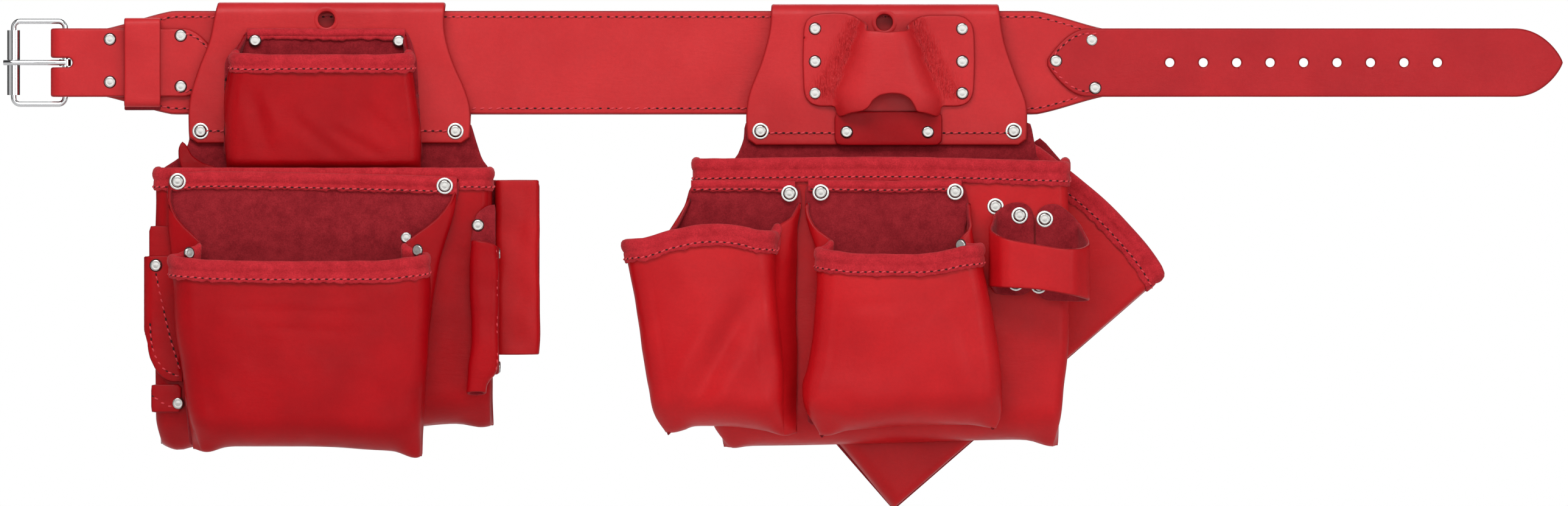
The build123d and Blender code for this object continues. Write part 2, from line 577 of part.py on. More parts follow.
def make_right_pouches():
    spots = POCKET_RIVETS + HAMMER_RIVETS + [HAMMER_POUCH_RIVET]
    side_z = sum(SIDE_TAB_Z) / 2
    body = pouch_shell(RIGHT_MAIN, FLAP_INNER, MAIN_DEPTH, MAIN_CORNER)
    body = cross_hole(body, SIDE_TAB_X, SIDE_TAIL_X + CUT, SIDE_TAB_FORWARD, side_z)
    binding = rim_binding(body, RIGHT_MAIN, FLAP_INNER, MAIN_DEPTH, MAIN_CORNER)
    PARTS["right_pouch_body"] = drilled(body, spots, SHANK_HOLE)
    PARTS["right_pouch_binding"] = drilled(binding, spots, SHANK_HOLE)

    panel_a = [
        (64.0, -91.0), (60.0, -106.0), (50.0, -120.0), (14.0, -124.0), (40.0, -270.5), (143.0, -270.5),
        (142.5, -121.0), (146.7, -101.7), (144.5, -91.0),
    ]
    panel_b = [
        (149.0, -91.0), (149.0, -109.4), (157.0, -130.0), (157.0, -141.3), (149.5, -270.5), (290.0, -270.5),
        (279.5, -141.3), (271.2, -121.4), (271.2, -106.4), (266.2, -91.0),
    ]
    for letter, levels, outline in (("a", POCKET_A, panel_a), ("b", POCKET_B, panel_b)):
        panel = plate(outline, POCKET_PANEL_BACK, POCKET_BACK)
        PARTS[f"pocket_{letter}_back"] = drilled(panel, POCKET_RIVETS, SHANK_HOLE)
        if letter == "a":
            tab = block(SIDE_TAB_X, SIDE_TAB_X + SIDE_TAB_THICK, *SIDE_TAB_Z, SIDE_TAB_FORWARD - 6.5, POCKET_BACK)
            PARTS["pocket_a_back"] += cross_hole(tab, SIDE_TAB_X - CUT, SIDE_TAIL_X, SIDE_TAB_FORWARD, side_z)
        shell = pouch_shell(levels, POCKET_BACK, POCKET_DEPTH)
        PARTS[f"pocket_{letter}_body"] = shell
        PARTS[f"pocket_{letter}_binding"] = rim_binding(shell, levels, POCKET_BACK, POCKET_DEPTH)

    inner = MAIN_FRONT - SHELL
    bound = inner - BINDING
    heads = [rivet(x, z, POCKET_BACK + WASHER_THICK, bound if z > -98 else inner) for x, z in POCKET_RIVETS]
    rings = [washer(x, z, POCKET_BACK) for x, z in POCKET_RIVETS]
    layers = (
        ([HAMMER_POUCH_RIVET], MAIN_FRONT), (HAMMER_UPPER_RIVETS, MAIN_FRONT + SUEDE),
        (HAMMER_LOWER_RIVETS, MAIN_FRONT + SUEDE + SHELL),
    )
    for spots, leather in layers:
        heads += [rivet(x, z, leather + WASHER_THICK, inner) for x, z in spots]
        rings += [washer(x, z, leather) for x, z in spots]
    heads.append(turned_left(rivet(0, 0, -SIDE_TAB_X, -SIDE_TAIL_X), SIDE_TAB_FORWARD, side_z))
    PARTS["right_pouch_rivets"] = group(heads)
    PARTS["right_pouch_washers"] = group(rings)


def make_hammer_loop():
    back = MAIN_FRONT
    front = MAIN_FRONT + SUEDE
    tabs = [
        plate([(297.0, -186.0), (317.0, -186.0), (317.0, -104.0), (297.0, -104.0)], back, front, 7.0),
        plate([(319.0, -186.0), (340.0, -186.0), (340.0, -106.0), (319.0, -106.0)], back, front, 7.0),
    ]
    PARTS["hammer_loop_back"] = group([drilled(tab, HAMMER_RIVETS, SHANK_HOLE) for tab in tabs])
    band = ring_tube(286.5, 358.5, -170.0, -124.0, front, front + 38.0, SHELL, 11.0)
    holes = group([disc(x, z, SHANK_HOLE, front - CUT, front + SHELL + CUT) for x, z in HAMMER_LOWER_RIVETS])
    PARTS["hammer_loop_band"] = band - holes


HOLSTER_TURN = 49.0
HOLSTER_MOUTH = (368.5, -106.7)
HOLSTER_WIDTH = 138.0
HOLSTER_LENGTH = 264.0
HOLSTER_DEPTH = 18.0
HOLSTER_RIVETS = [(286.4, -108.1), (225.2, -159.7), (164.1, -211.3)]


def make_holster():
    """Large angled holster behind the right bag, built upright and then turned."""
    place = Pos(HOLSTER_MOUTH[0], 0, HOLSTER_MOUTH[1]) * Rot(0, HOLSTER_TURN, 0)
    half = HOLSTER_WIDTH / 2
    back = PANEL_BACK - HOLSTER_DEPTH
    rear = (-half, half)
    face = (-half + 2, half - 2)
    levels = [(-HOLSTER_LENGTH, rear, face), (0.0, rear, face)]
    shell = pouch_shell(levels, back, HOLSTER_DEPTH, 6.0)
    outline = [(-half, 0.0), (-half, -HOLSTER_LENGTH), (half, -HOLSTER_LENGTH), (half, 0.0)]
    rear_plate = plate(outline, back - SUEDE, back)
    bag_side = place * rim_binding(shell, levels, back, HOLSTER_DEPTH, 6.0, drop=12.0)
    keep_clear = block(60.0, 345.0, -290.0, -40.0, PANEL_BACK, PANEL_BACK + 20.0)
    holes = group([disc(x, z, SHANK_HOLE, PANEL_BACK - 6.0, PANEL_BACK + 1) for x, z in HOLSTER_RIVETS])
    PARTS["holster_front"] = place * shell - holes
    PARTS["holster_back"] = place * rear_plate
    PARTS["holster_binding"] = bag_side - keep_clear
    PARTS["holster_rivets"] = group([rivet(x, z, FLAP_INNER, PANEL_BACK - SHELL) for x, z in HOLSTER_RIVETS])


def main():
    make_pad()
    make_buckle_strap()
    make_keeper()
    make_buckle()
    make_tail()
    make_left_tunnel()
    make_left_back_panel()
    make_top_pocket()
    make_left_pouches()
    make_left_holders()
    make_right_tunnel()
    make_right_back_panel()
    make_formed_holder()
    make_right_pouches()
    make_hammer_loop()
    make_holster()
    os.makedirs("parts", exist_ok=True)
    for name, shape in PARTS.items():
        export_step(shape, f"parts/{name}.step")
    print(len(PARTS), "parts written")


main()
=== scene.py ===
import math
from types import SimpleNamespace

import bpy
import numpy as np
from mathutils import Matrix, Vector
from mathutils.geometry import delaunay_2d_cdt


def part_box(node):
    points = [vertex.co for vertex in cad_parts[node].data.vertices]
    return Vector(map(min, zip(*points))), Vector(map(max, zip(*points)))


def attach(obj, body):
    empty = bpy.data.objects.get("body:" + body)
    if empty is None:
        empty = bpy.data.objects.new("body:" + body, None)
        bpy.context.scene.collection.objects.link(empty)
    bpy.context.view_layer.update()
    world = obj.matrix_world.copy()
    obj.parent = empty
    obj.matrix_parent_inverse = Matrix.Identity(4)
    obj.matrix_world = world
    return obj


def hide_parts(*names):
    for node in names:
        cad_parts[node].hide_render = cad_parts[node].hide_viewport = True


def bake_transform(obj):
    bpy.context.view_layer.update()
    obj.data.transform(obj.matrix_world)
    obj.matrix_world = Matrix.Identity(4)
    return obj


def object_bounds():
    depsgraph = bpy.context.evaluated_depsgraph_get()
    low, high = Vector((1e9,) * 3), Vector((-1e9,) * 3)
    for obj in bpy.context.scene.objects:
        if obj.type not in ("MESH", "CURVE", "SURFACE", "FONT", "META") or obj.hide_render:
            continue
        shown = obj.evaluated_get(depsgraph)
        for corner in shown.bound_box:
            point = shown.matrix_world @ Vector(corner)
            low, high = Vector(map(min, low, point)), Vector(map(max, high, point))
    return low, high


# A red leather tool belt.  Shapes are worked out in millimetres: x along the belt, z up,
# and "forward" counted in front of the pad's back face, so y = -forward.

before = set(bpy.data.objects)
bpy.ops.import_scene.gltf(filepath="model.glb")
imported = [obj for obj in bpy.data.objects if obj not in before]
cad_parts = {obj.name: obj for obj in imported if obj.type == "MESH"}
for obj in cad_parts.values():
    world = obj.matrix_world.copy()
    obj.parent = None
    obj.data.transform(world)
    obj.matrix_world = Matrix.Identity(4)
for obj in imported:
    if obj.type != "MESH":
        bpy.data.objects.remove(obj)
cad_low, cad_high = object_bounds()
MM = 0.001
COLLECTION = bpy.context.scene.collection


def span(node):
    """Limits of a CAD node in millimetres."""
    low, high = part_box(node)
    return SimpleNamespace(
        left=low.x / MM, right=high.x / MM, bottom=low.z / MM, top=high.z / MM,
        back=-high.y / MM, front=-low.y / MM,
    )


# ---- camera, light and floor ---------------------------------------------------------
VIEW_WIDTH = 1.1592
VIEW_CENTRE = (0.1332, -0.1411)
VIEW_DISTANCE = 15.0
VIEW_PLANE = 0.05
SKY = [(0.25, 0.16), (0.85, 0.95)]
BANDS = [
    (0.0, 0.75), (0.16, 0.95), (0.27, 0.03), (0.33, 0.02), (0.4, 0.85), (0.6, 1.0), (0.68, 0.06),
    (0.76, 0.03), (0.86, 0.9),
]
REAR_FADE = (-0.1, 0.35, 1.0, 0.04)
DIRECTION_RANGE = (-1.0, 1.0, 0.0, 1.0)
FLOOR_SIZE, FLOOR_FORWARD, FLOOR_DROP = 13.0, 3.05, 0.04


def make_camera():
    data = bpy.data.cameras.new("camera")
    data.lens = data.sensor_width * VIEW_DISTANCE / VIEW_WIDTH
    data.clip_end = 2 * VIEW_DISTANCE
    camera = bpy.data.objects.new("camera", data)
    camera.location = (VIEW_CENTRE[0], -VIEW_DISTANCE - VIEW_PLANE, VIEW_CENTRE[1])
    camera.rotation_euler = (math.radians(90), 0, 0)
    COLLECTION.objects.link(camera)
    bpy.context.scene.camera = camera


def area_light(name, place, target, size, power):
    data = bpy.data.lights.new(name, "AREA")
    data.shape = "RECTANGLE"
    data.size, data.size_y = size
    data.energy = power
    light = bpy.data.objects.new(name, data)
    light.location = place
    light.visible_camera = False
    light.rotation_mode = "QUATERNION"
    direction = Vector(target) - Vector(place)
    light.rotation_quaternion = direction.to_track_quat("-Z", "Y")
    COLLECTION.objects.link(light)


def make_world():
    """White where the camera sees it, a soft grade as light, and light and dark bands
    for the metal to mirror."""
    world = bpy.data.worlds.new("studio")
    bpy.context.scene.world = world
    world.use_nodes = True
    nodes, link = world.node_tree.nodes, world.node_tree.links.new
    nodes.remove(nodes["Background"])

    def ranged(value, limits):
        node = nodes.new("ShaderNodeMapRange")
        for socket, number in zip(node.inputs[1:5], limits):
            socket.default_value = number
        link(value, node.inputs["Value"])
        return node.outputs[0]

    def graded(value, stops, interpolation="LINEAR"):
        node = nodes.new("ShaderNodeValToRGB")
        node.color_ramp.interpolation = interpolation
        for place, _ in stops[2:]:
            node.color_ramp.elements.new(place)
        for element, (place, level) in zip(node.color_ramp.elements, stops):
            element.position = place
            element.color = (level, level, level, 1)
        link(value, node.inputs[0])
        return node.outputs[0]

    def shining(strength, colour=None):
        node = nodes.new("ShaderNodeBackground")
        node.inputs["Color"].default_value = (1, 1, 1, 1)
        node.inputs["Strength"].default_value = strength
        if colour is not None:
            link(colour, node.inputs["Color"])
        return node.outputs[0]

    def chosen(ray, other, own):
        node = nodes.new("ShaderNodeMixShader")
        for value, socket in zip((ray, other, own), node.inputs):
            link(value, socket)
        return node.outputs[0]

    direction = nodes.new("ShaderNodeSeparateXYZ")
    link(nodes.new("ShaderNodeTexCoord").outputs["Generated"], direction.inputs[0])
    rays = nodes.new("ShaderNodeLightPath").outputs
    grade = graded(ranged(direction.outputs["Z"], DIRECTION_RANGE), SKY)
    bands = graded(ranged(direction.outputs["X"], DIRECTION_RANGE), BANDS, "EASE")
    both = nodes.new("ShaderNodeMix")
    both.data_type = "RGBA"
    both.blend_type = "MULTIPLY"
    both.inputs[0].default_value = 1.0
    link(bands, both.inputs[6])
    link(ranged(direction.outputs["Y"], REAR_FADE), both.inputs[7])
    lit = chosen(rays["Is Glossy Ray"], shining(0.44, grade), shining(0.8, both.outputs[2]))
    surface = chosen(rays["Is Camera Ray"], lit, shining(1.0))
    link(surface, nodes["World Output"].inputs["Surface"])


def make_studio():
    middle = (VIEW_CENTRE[0], 0.0, VIEW_CENTRE[1])
    area_light("key", (-0.3, -1.3, 1.25), middle, (1.6, 0.7), 21)
    area_light("fill", (1.5, -1.6, 0.35), middle, (1.0, 1.0), 7)
    area_light("front", (0.1, -2.4, 0.2), middle, (2.0, 0.8), 7)
    area_light("rear", (0.2, 1.6, 0.9), middle, (2.0, 1.0), 12)
    make_world()
    bpy.context.scene.view_settings.view_transform = "Standard"
    place = (VIEW_CENTRE[0], -FLOOR_FORWARD, cad_low.z - FLOOR_DROP)
    bpy.ops.mesh.primitive_plane_add(size=FLOOR_SIZE, location=place)
    floor = bpy.context.active_object
    floor.name = "floor"
    floor.data.materials.append(plain_material("floor_pale", (0.86, 0.86, 0.86), 0.7))


# ---- materials -----------------------------------------------------------------------
class Painter:
    """One procedural material and the nodes that feed its shader."""

    def __init__(self, name):
        self.material = bpy.data.materials.new(name)
        self.material.use_nodes = True
        self.nodes = self.material.node_tree.nodes
        self.links = self.material.node_tree.links
        self.shader = self.nodes["Principled BSDF"]
        self.place = self.nodes.new("ShaderNodeTexCoord").outputs["Object"]
        self.normal = None

    def noise(self, scale, detail=4.0, rough=0.5, stretch=None):
        node = self.nodes.new("ShaderNodeTexNoise")
        node.inputs["Scale"].default_value = scale
        node.inputs["Detail"].default_value = detail
        node.inputs["Roughness"].default_value = rough
        self.links.new(self.stretched(stretch), node.inputs["Vector"])
        return node.outputs["Fac"]

    def stretched(self, stretch):
        if stretch is None:
            return self.place
        node = self.nodes.new("ShaderNodeMapping")
        node.inputs["Scale"].default_value = stretch
        self.links.new(self.place, node.inputs["Vector"])
        return node.outputs[0]

    def cells(self, scale):
        node = self.nodes.new("ShaderNodeTexVoronoi")
        node.feature = "DISTANCE_TO_EDGE"
        node.inputs["Scale"].default_value = scale
        self.links.new(self.place, node.inputs["Vector"])
        return node.outputs["Distance"]

    def mark(self, name):
        node = self.nodes.new("ShaderNodeAttribute")
        node.attribute_name = name
        return node.outputs["Fac"]

    def fit(self, value, low, high, new_low, new_high):
        node = self.nodes.new("ShaderNodeMapRange")
        for socket, number in zip(node.inputs[1:5], (low, high, new_low, new_high)):
            socket.default_value = number
        self.links.new(value, node.inputs[0])
        return node.outputs[0]

    def blend(self, amount, first, second):
        node = self.nodes.new("ShaderNodeMix")
        node.data_type = "RGBA"
        self.links.new(amount, node.inputs[0])
        for socket, value in ((node.inputs[6], first), (node.inputs[7], second)):
            if isinstance(value, tuple):
                socket.default_value = (*value, 1)
            else:
                self.links.new(value, socket)
        return node.outputs[2]

    def bump(self, height, strength, distance):
        node = self.nodes.new("ShaderNodeBump")
        node.inputs["Strength"].default_value = strength
        node.inputs["Distance"].default_value = distance
        self.links.new(height, node.inputs["Height"])
        if self.normal is not None:
            self.links.new(self.normal, node.inputs["Normal"])
        self.normal = node.outputs[0]

    def feed(self, socket, value):
        if isinstance(value, (int, float)):
            self.shader.inputs[socket].default_value = value
        elif isinstance(value, tuple):
            self.shader.inputs[socket].default_value = (*value, 1)
        else:
            self.links.new(value, self.shader.inputs[socket])

    def finish(self):
        if self.normal is not None:
            self.links.new(self.normal, self.shader.inputs["Normal"])
        return self.material


def plain_material(name, colour, rough):
    paint = Painter(name)
    tint = paint.blend(paint.noise(2.0), tuple(0.985 * c for c in colour), colour)
    paint.feed("Base Color", tint)
    paint.feed("Roughness", rough)
    return paint.finish()


def smooth_leather(name, light, dark, edge, rough=(0.36, 0.5), shine=0.26, creased=False):
    """Dyed top-grain leather with fine pores, soft wrinkles and burnished cut edges.
    With creased, upright folds show where the mesh's crease attribute says."""
    paint = Painter(name)
    cloud = paint.fit(paint.noise(22.0, 5.0), 0.35, 0.65, 0.0, 1.0)
    colour = paint.blend(cloud, dark, light)
    mottle = paint.fit(paint.noise(420.0, 6.0, 0.65), 0.3, 0.75, 0.0, 0.22)
    colour = paint.blend(mottle, colour, tuple(0.55 * c for c in dark))
    worn = paint.fit(paint.mark("edge"), 0.55, 1.0, 0.0, 0.75)
    colour = paint.blend(worn, colour, edge)
    paint.feed("Base Color", colour)
    gloss = paint.fit(paint.noise(75.0, 5.0), 0.3, 0.7, rough[0], rough[1])
    paint.feed("Roughness", gloss)
    paint.feed("Specular IOR Level", shine)
    paint.bump(paint.noise(70.0, 4.0, 0.5, (1.0, 1.0, 2.4)), 0.3, 0.0004)
    if creased:
        folds = paint.fit(paint.noise(640.0, 3.0, 0.55, (1.0, 1.0, 0.2)), 0.3, 0.7, 0.0, 1.0)
        folds = paint.blend(paint.mark("crease"), (0.5, 0.5, 0.5), folds)
        paint.bump(folds, 1.0, 0.0015)
    patches = paint.fit(paint.noise(14.0, 3.0), 0.45, 0.62, 0.0, 1.0)
    wrinkles = paint.noise(330.0, 4.0, 0.6, (0.4, 1.0, 1.7))
    paint.bump(paint.blend(patches, (0.5, 0.5, 0.5), wrinkles), 0.35, 0.0004)
    paint.bump(paint.cells(900.0), 0.2, 0.0002)
    paint.bump(paint.noise(1500.0, 3.0), 0.16, 0.00015)
    return paint.finish()


def suede(name, light, dark, nap=0.5):
    """Brushed flesh side: mottled, matt, with a short nap."""
    paint = Painter(name)
    patch = paint.fit(paint.noise(110.0, 8.0, 0.7), 0.34, 0.66, 0.0, 1.0)
    colour = paint.blend(patch, dark, light)
    fleck = paint.fit(paint.noise(900.0, 5.0, 0.7), 0.42, 0.7, 0.0, 0.5)
    colour = paint.blend(fleck, colour, tuple(0.5 * c for c in dark))
    bloom = paint.fit(paint.noise(1300.0, 3.0, 0.6), 0.55, 0.8, 0.0, 0.35)
    colour = paint.blend(bloom, colour, tuple(min(1.0, 1.6 * c + 0.015) for c in light))
    paint.feed("Base Color", colour)
    paint.feed("Roughness", 0.93)
    paint.feed("Specular IOR Level", 0.12)
    paint.feed("Sheen Weight", 0.16)
    paint.feed("Sheen Roughness", 0.45)
    paint.feed("Sheen Tint", (1.0, 0.5, 0.5))
    paint.bump(paint.noise(230.0, 6.0, 0.65), nap, 0.0007)
    paint.bump(paint.noise(1400.0, 5.0, 0.7), nap, 0.0004)
    return paint.finish()


def thread_material():
    paint = Painter("thread_red")
    twist = paint.noise(2600.0, 2.0, 0.5, (1.0, 1.0, 0.35))
    paint.feed("Base Color", paint.blend(twist, (0.56, 0.022, 0.034), (0.82, 0.070, 0.090)))
    paint.feed("Roughness", 0.62)
    paint.bump(twist, 0.6, 0.0003)
    return paint.finish()


def metal(name, colour, rough, scratch):
    paint = Painter(name)
    smear = paint.noise(160.0, 5.0, 0.6, (1.0, 1.0, 4.0))
    paint.feed("Base Color", paint.blend(smear, tuple(0.86 * c for c in colour), colour))
    paint.feed("Metallic", 1.0)
    paint.feed("Roughness", paint.fit(smear, 0.3, 0.7, rough * 0.8, rough * 1.25))
    paint.bump(paint.noise(900.0, 4.0, 0.6), scratch, 0.0001)
    return paint.finish()


FLAP_TONES = (0.58, 0.018, 0.022), (0.51, 0.012, 0.016), (0.31, 0.006, 0.008)
BELT = smooth_leather(
    "belt_leather_red", (0.60, 0.020, 0.024), (0.54, 0.015, 0.019), (0.34, 0.007, 0.009),
)
FLAP = smooth_leather("flap_leather_red", *FLAP_TONES)
CREASED = smooth_leather("creased_leather_red", *FLAP_TONES, creased=True)
BAG = smooth_leather(
    "bag_leather_red", (0.44, 0.002, 0.006), (0.36, 0.0015, 0.005), (0.24, 0.003, 0.006),
    (0.3, 0.44), 0.14,
)
BAG_LIGHT = smooth_leather(
    "bag_leather_light_red", (0.56, 0.007, 0.011), (0.48, 0.005, 0.009), (0.29, 0.004, 0.007),
    (0.32, 0.46), 0.2,
)
TAIL = smooth_leather(
    "tail_leather_red", (0.48, 0.014, 0.019), (0.42, 0.011, 0.016), (0.30, 0.007, 0.009), shine=0.2,
)
SUEDE = suede("panel_suede_red", (0.36, 0.020, 0.028), (0.235, 0.010, 0.016))
LINING = suede("lining_suede_red", (0.33, 0.020, 0.028), (0.22, 0.011, 0.017), 0.4)
TRIM = suede("binding_suede_red", (0.60, 0.028, 0.040), (0.42, 0.016, 0.024), 0.7)
THREAD = thread_material()
# Painted shade: near-black for the shade inside stitch holes and the contact shadow round rivet
# heads.
PAINTED_SHADE = plain_material("painted_shade_holes_and_rims", (0.035, 0.001, 0.002), 0.9)
NICKEL = metal("rivet_nickel", (0.50, 0.49, 0.47), 0.22, 0.3)
WASHER = metal("washer_nickel", (0.72, 0.71, 0.69), 0.26, 0.3)
CHROME = metal("buckle_chrome", (0.70, 0.71, 0.72), 0.09, 0.08)


# ---- lines and fields ------------------------------------------------------------------
WAVE_COUNT = 9


def unit(vectors):
    length = np.linalg.norm(vectors, axis=-1, keepdims=True)
    return vectors / np.maximum(length, 1e-9)


def step(value):
    """Smooth step from 0 to 1."""
    value = np.clip(value, 0, 1)
    return value * value * (3 - 2 * value)


def through(pairs):
    """Smooth function through (input, output) pairs, level outside them."""
    pairs = sorted(pairs)
    at, value = np.array(pairs, float).T
    chord = np.diff(value) / np.diff(at)
    slope = np.zeros(len(at))
    slope[1:-1] = np.where(chord[1:] * chord[:-1] > 0, (chord[1:] + chord[:-1]) / 2, 0)
    slope[0], slope[-1] = chord[0], chord[-1]

    def value_at(where):
        where = np.clip(np.asarray(where, float), at[0], at[-1])
        index = np.clip(np.searchsorted(at, where) - 1, 0, len(at) - 2)
        width = at[index + 1] - at[index]
        t = (where - at[index]) / width
        return (
            (2 * t**3 - 3 * t**2 + 1) * value[index] + (t**3 - 2 * t**2 + t) * width * slope[index]
            + (3 * t**2 - 2 * t**3) * value[index + 1] + (t**3 - t**2) * width * slope[index + 1]
        )

    return value_at


def travelled(line):
    """Distance along a line to each of its points."""
    return np.concatenate([[0], np.cumsum(np.linalg.norm(np.diff(line, axis=0), axis=1))])


def evenly(points, pitch, *others):
    """A line resampled at an even pitch, with the arrays that go with its points."""
    points = np.asarray(points, float)
    gone = travelled(points)
    count = max(2, int(round(gone[-1] / pitch)))
    marks = np.linspace(0, gone[-1], count + 1)
    made = [
        np.stack([np.interp(marks, gone, column) for column in np.asarray(values, float).T], 1)
        for values in (points, *others)
    ]
    return made if others else made[0]


def rounded(corners, radius, pitch=4.0):
    """Closed outline through corners, rounded by about that radius."""
    loop = evenly([*corners, corners[0]], 1.0)[:-1]
    if radius > 0:
        reach = int(3 * radius)
        weights = np.exp(-0.5 * (np.arange(-reach, reach + 1) / (0.55 * radius)) ** 2)
        weights /= weights.sum()
        padded = np.concatenate([loop[-reach:], loop, loop[:reach]])
        loop = np.stack([np.convolve(padded[:, k], weights, "valid") for k in (0, 1)], 1)
    return evenly([*loop, loop[0]], pitch)[:-1]


def circle(centre, radius, count=20):
    angle = np.arange(count) * 2 * math.pi / count
    return np.stack([centre[0] + radius * np.cos(angle), centre[1] + radius * np.sin(angle)], 1)


def waves(points, length, seed):
    """Smooth random field, about -1 to 1, with features about that long."""
    random = np.random.default_rng(seed)
    total = np.zeros(len(points))
    for _ in range(WAVE_COUNT):
        direction = unit(random.normal(size=3))
        pace = 2 * math.pi / length * random.uniform(0.6, 1.5)
        total += np.sin(points @ direction * pace + random.uniform(0, 2 * math.pi))
    return total / math.sqrt(WAVE_COUNT)


def crease(points, start, end, width, depth):
    """Push of a soft crease along a line from start to end, both (x, z)."""
    flat = points[:, [0, 2]]
    start, end = np.array(start, float), np.array(end, float)
    run = end - start
    t = np.clip((flat - start) @ run / (run @ run), 0, 1)
    away = np.linalg.norm(flat - start - t[:, None] * run, axis=1) / width
    fade = np.sin(math.pi * np.clip(t * 0.94 + 0.03, 0, 1)) ** 0.7
    return depth * fade * (0.45 * np.exp(-((away - 1.7) ** 2)) - np.exp(-(away**2)))


# ---- meshes ------------------------------------------------------------------------------
BEVEL, EDGE_STEPS = 0.92, 6
FORWARD, REARWARD, UP = [0.0, -1.0, 0.0], [0.0, 1.0, 0.0], [0.0, 0.0, 1.0]


def upright(flat, forward):
    """Points of a sheet parallel to the belt, from its (x, z) points."""
    flat = np.asarray(flat, float)
    return np.stack([flat[:, 0], np.full(len(flat), -forward), flat[:, 1]], 1)


def make_object(name, points, faces, materials, slots=None, edge=None):
    mesh = bpy.data.meshes.new(name)
    mesh.from_pydata((np.asarray(points) * MM).tolist(), [], [list(map(int, f)) for f in faces])
    for material in materials:
        mesh.materials.append(material)
    if slots is not None:
        mesh.polygons.foreach_set("material_index", slots)
    mesh.polygons.foreach_set("use_smooth", [True] * len(mesh.polygons))
    if edge is not None:
        mesh.attributes.new("edge", "FLOAT", "POINT").data.foreach_set("value", edge)
    mesh.validate()
    obj = bpy.data.objects.new(name, mesh)
    COLLECTION.objects.link(obj)
    return obj


def inside(points, loop):
    """Which points lie inside a closed outline."""
    x, y = points[:, 0:1], points[:, 1:2]
    after = np.roll(loop, -1, 0)
    crosses = (loop[:, 1] > y) != (after[:, 1] > y)
    rise = after[:, 1] - loop[:, 1]
    slope = (after[:, 0] - loop[:, 0]) / np.where(rise == 0, 1e-9, rise)
    return ((x < slope * (y - loop[:, 1]) + loop[:, 0]) & crosses).sum(1) % 2 == 1


def clearance(points, loop):
    """Distance of each point from a closed outline."""
    run = np.roll(loop, -1, 0) - loop
    offset = points[:, None] - loop
    t = np.clip((offset * run).sum(2) / np.maximum((run * run).sum(1), 1e-9), 0, 1)
    return np.linalg.norm(offset - t[..., None] * run, axis=2).min(1)


def pattern(outline, holes=(), pitch=4.5, rows=None):
    """Flat cutting pattern, triangulated: its points and faces."""
    loops = [np.asarray(outline, float), *holes]
    low, high = loops[0].min(0), loops[0].max(0)
    across = np.arange(low[0] - pitch, high[0] + pitch, pitch)
    up = np.arange(low[1], high[1], pitch * 0.87) if rows is None else np.asarray(rows)
    inner = np.array([(x + pitch / 2 * (n % 2), y) for n, y in enumerate(up) for x in across])
    keep = inside(inner, loops[0])
    for loop in loops:
        keep &= clearance(inner, loop) > 0.45 * pitch
    for hole in holes:
        keep &= ~inside(inner, hole)
    edges, start = [], 0
    for loop in loops:
        count = len(loop)
        edges += [(start + k, start + (k + 1) % count) for k in range(count)]
        start += count
    points = np.concatenate([*loops, inner[keep]])
    made = delaunay_2d_cdt([Vector(p) for p in points], edges, [], 0, 1e-6)
    flat = np.array([tuple(v) for v in made[0]])
    faces = np.array([f for f in made[2] if len(f) == 3])
    middle = flat[faces].mean(1)
    keep = inside(middle, loops[0])
    for hole in holes:
        keep &= ~inside(middle, hole)
    return flat, faces[keep]


def normals_of(points, faces):
    normal = np.zeros_like(points)
    for face in faces:
        a, b, c = points[face[0]], points[face[1]], points[face[2]]
        across = np.cross(b - a, c - a) if len(face) == 3 else np.cross(c - a, points[face[3]] - b)
        for corner in face:
            normal[corner] += across
    return unit(normal)


def skin(name, points, faces, thick, materials, open_at=()):
    """Object from one surface: given its thickness behind, with rounded edges.
    Edges at the x positions in open_at stay open, for a neighbour that carries on."""
    points = np.array(points, float)
    normal = normals_of(points, faces)
    pairs = set()
    for face in faces:
        for a, b in zip(face, [*face[1:], face[0]]):
            pairs.add((int(a), int(b)))
    border = [(a, b) for a, b in pairs if (b, a) not in pairs and a != b]
    border.sort()
    after = dict(border)
    before = {b: a for a, b in border}
    is_open = np.zeros(len(points), bool)
    for x in open_at:
        is_open |= np.abs(points[:, 0] - x) < 1e-3
    loop = sorted(after)
    outward = np.zeros_like(points)
    for v in loop:
        ahead, behind = after[v], before.get(v, v)
        if is_open[v]:
            ahead = v if is_open[ahead] else ahead
            behind = v if is_open[behind] else behind
        out = np.cross(points[ahead] - points[behind], normal[v])
        if is_open[v]:
            out[0] = 0
        length = np.linalg.norm(out)
        outward[v] = out / length if length > 1e-9 else 0
    radius = thick / 2 * BEVEL
    front = points - outward * radius
    back = front - normal * thick
    count = len(points)
    made = [front, back]
    index = {v: n for n, v in enumerate(loop)}
    at = np.array(loop, int)
    for k in range(1, EDGE_STEPS):
        angle = math.pi * k / EDGE_STEPS
        sink = normal[at] * thick / 2 * (1 - math.cos(angle))
        made.append(front[at] - sink + outward[at] * radius * math.sin(angle))
    all_faces = [list(f) for f in faces] + [[v + count for v in reversed(f)] for f in faces]
    slots = [0] * len(faces) + [1 if len(materials) > 1 else 0] * len(faces)

    def row(k, v):
        if k == 0:
            return v
        return v + count if k == EDGE_STEPS else 2 * count + (k - 1) * len(loop) + index[v]

    for a, b in border:
        if is_open[a] and is_open[b]:
            continue
        for k in range(EDGE_STEPS):
            all_faces.append([row(k, b), row(k, a), row(k + 1, a), row(k + 1, b)])
            slots.append(0 if k < EDGE_STEPS / 2 or len(materials) < 2 else 1)
    all_points = np.concatenate(made)
    edge = np.zeros(len(all_points))
    edge[at] = 0.5
    edge[at + count] = 0.5
    edge[2 * count:] = 1.0
    return make_object(name, all_points, all_faces, materials, slots, edge)


def grid_faces(rows, columns, closed=False):
    """Faces of a grid of points stored row by row."""
    made = []
    for r in range(rows - 1):
        for c in range(columns if closed else columns - 1):
            low, next_low = r * columns + c, r * columns + (c + 1) % columns
            made.append([low, next_low, next_low + columns, low + columns])
    return made


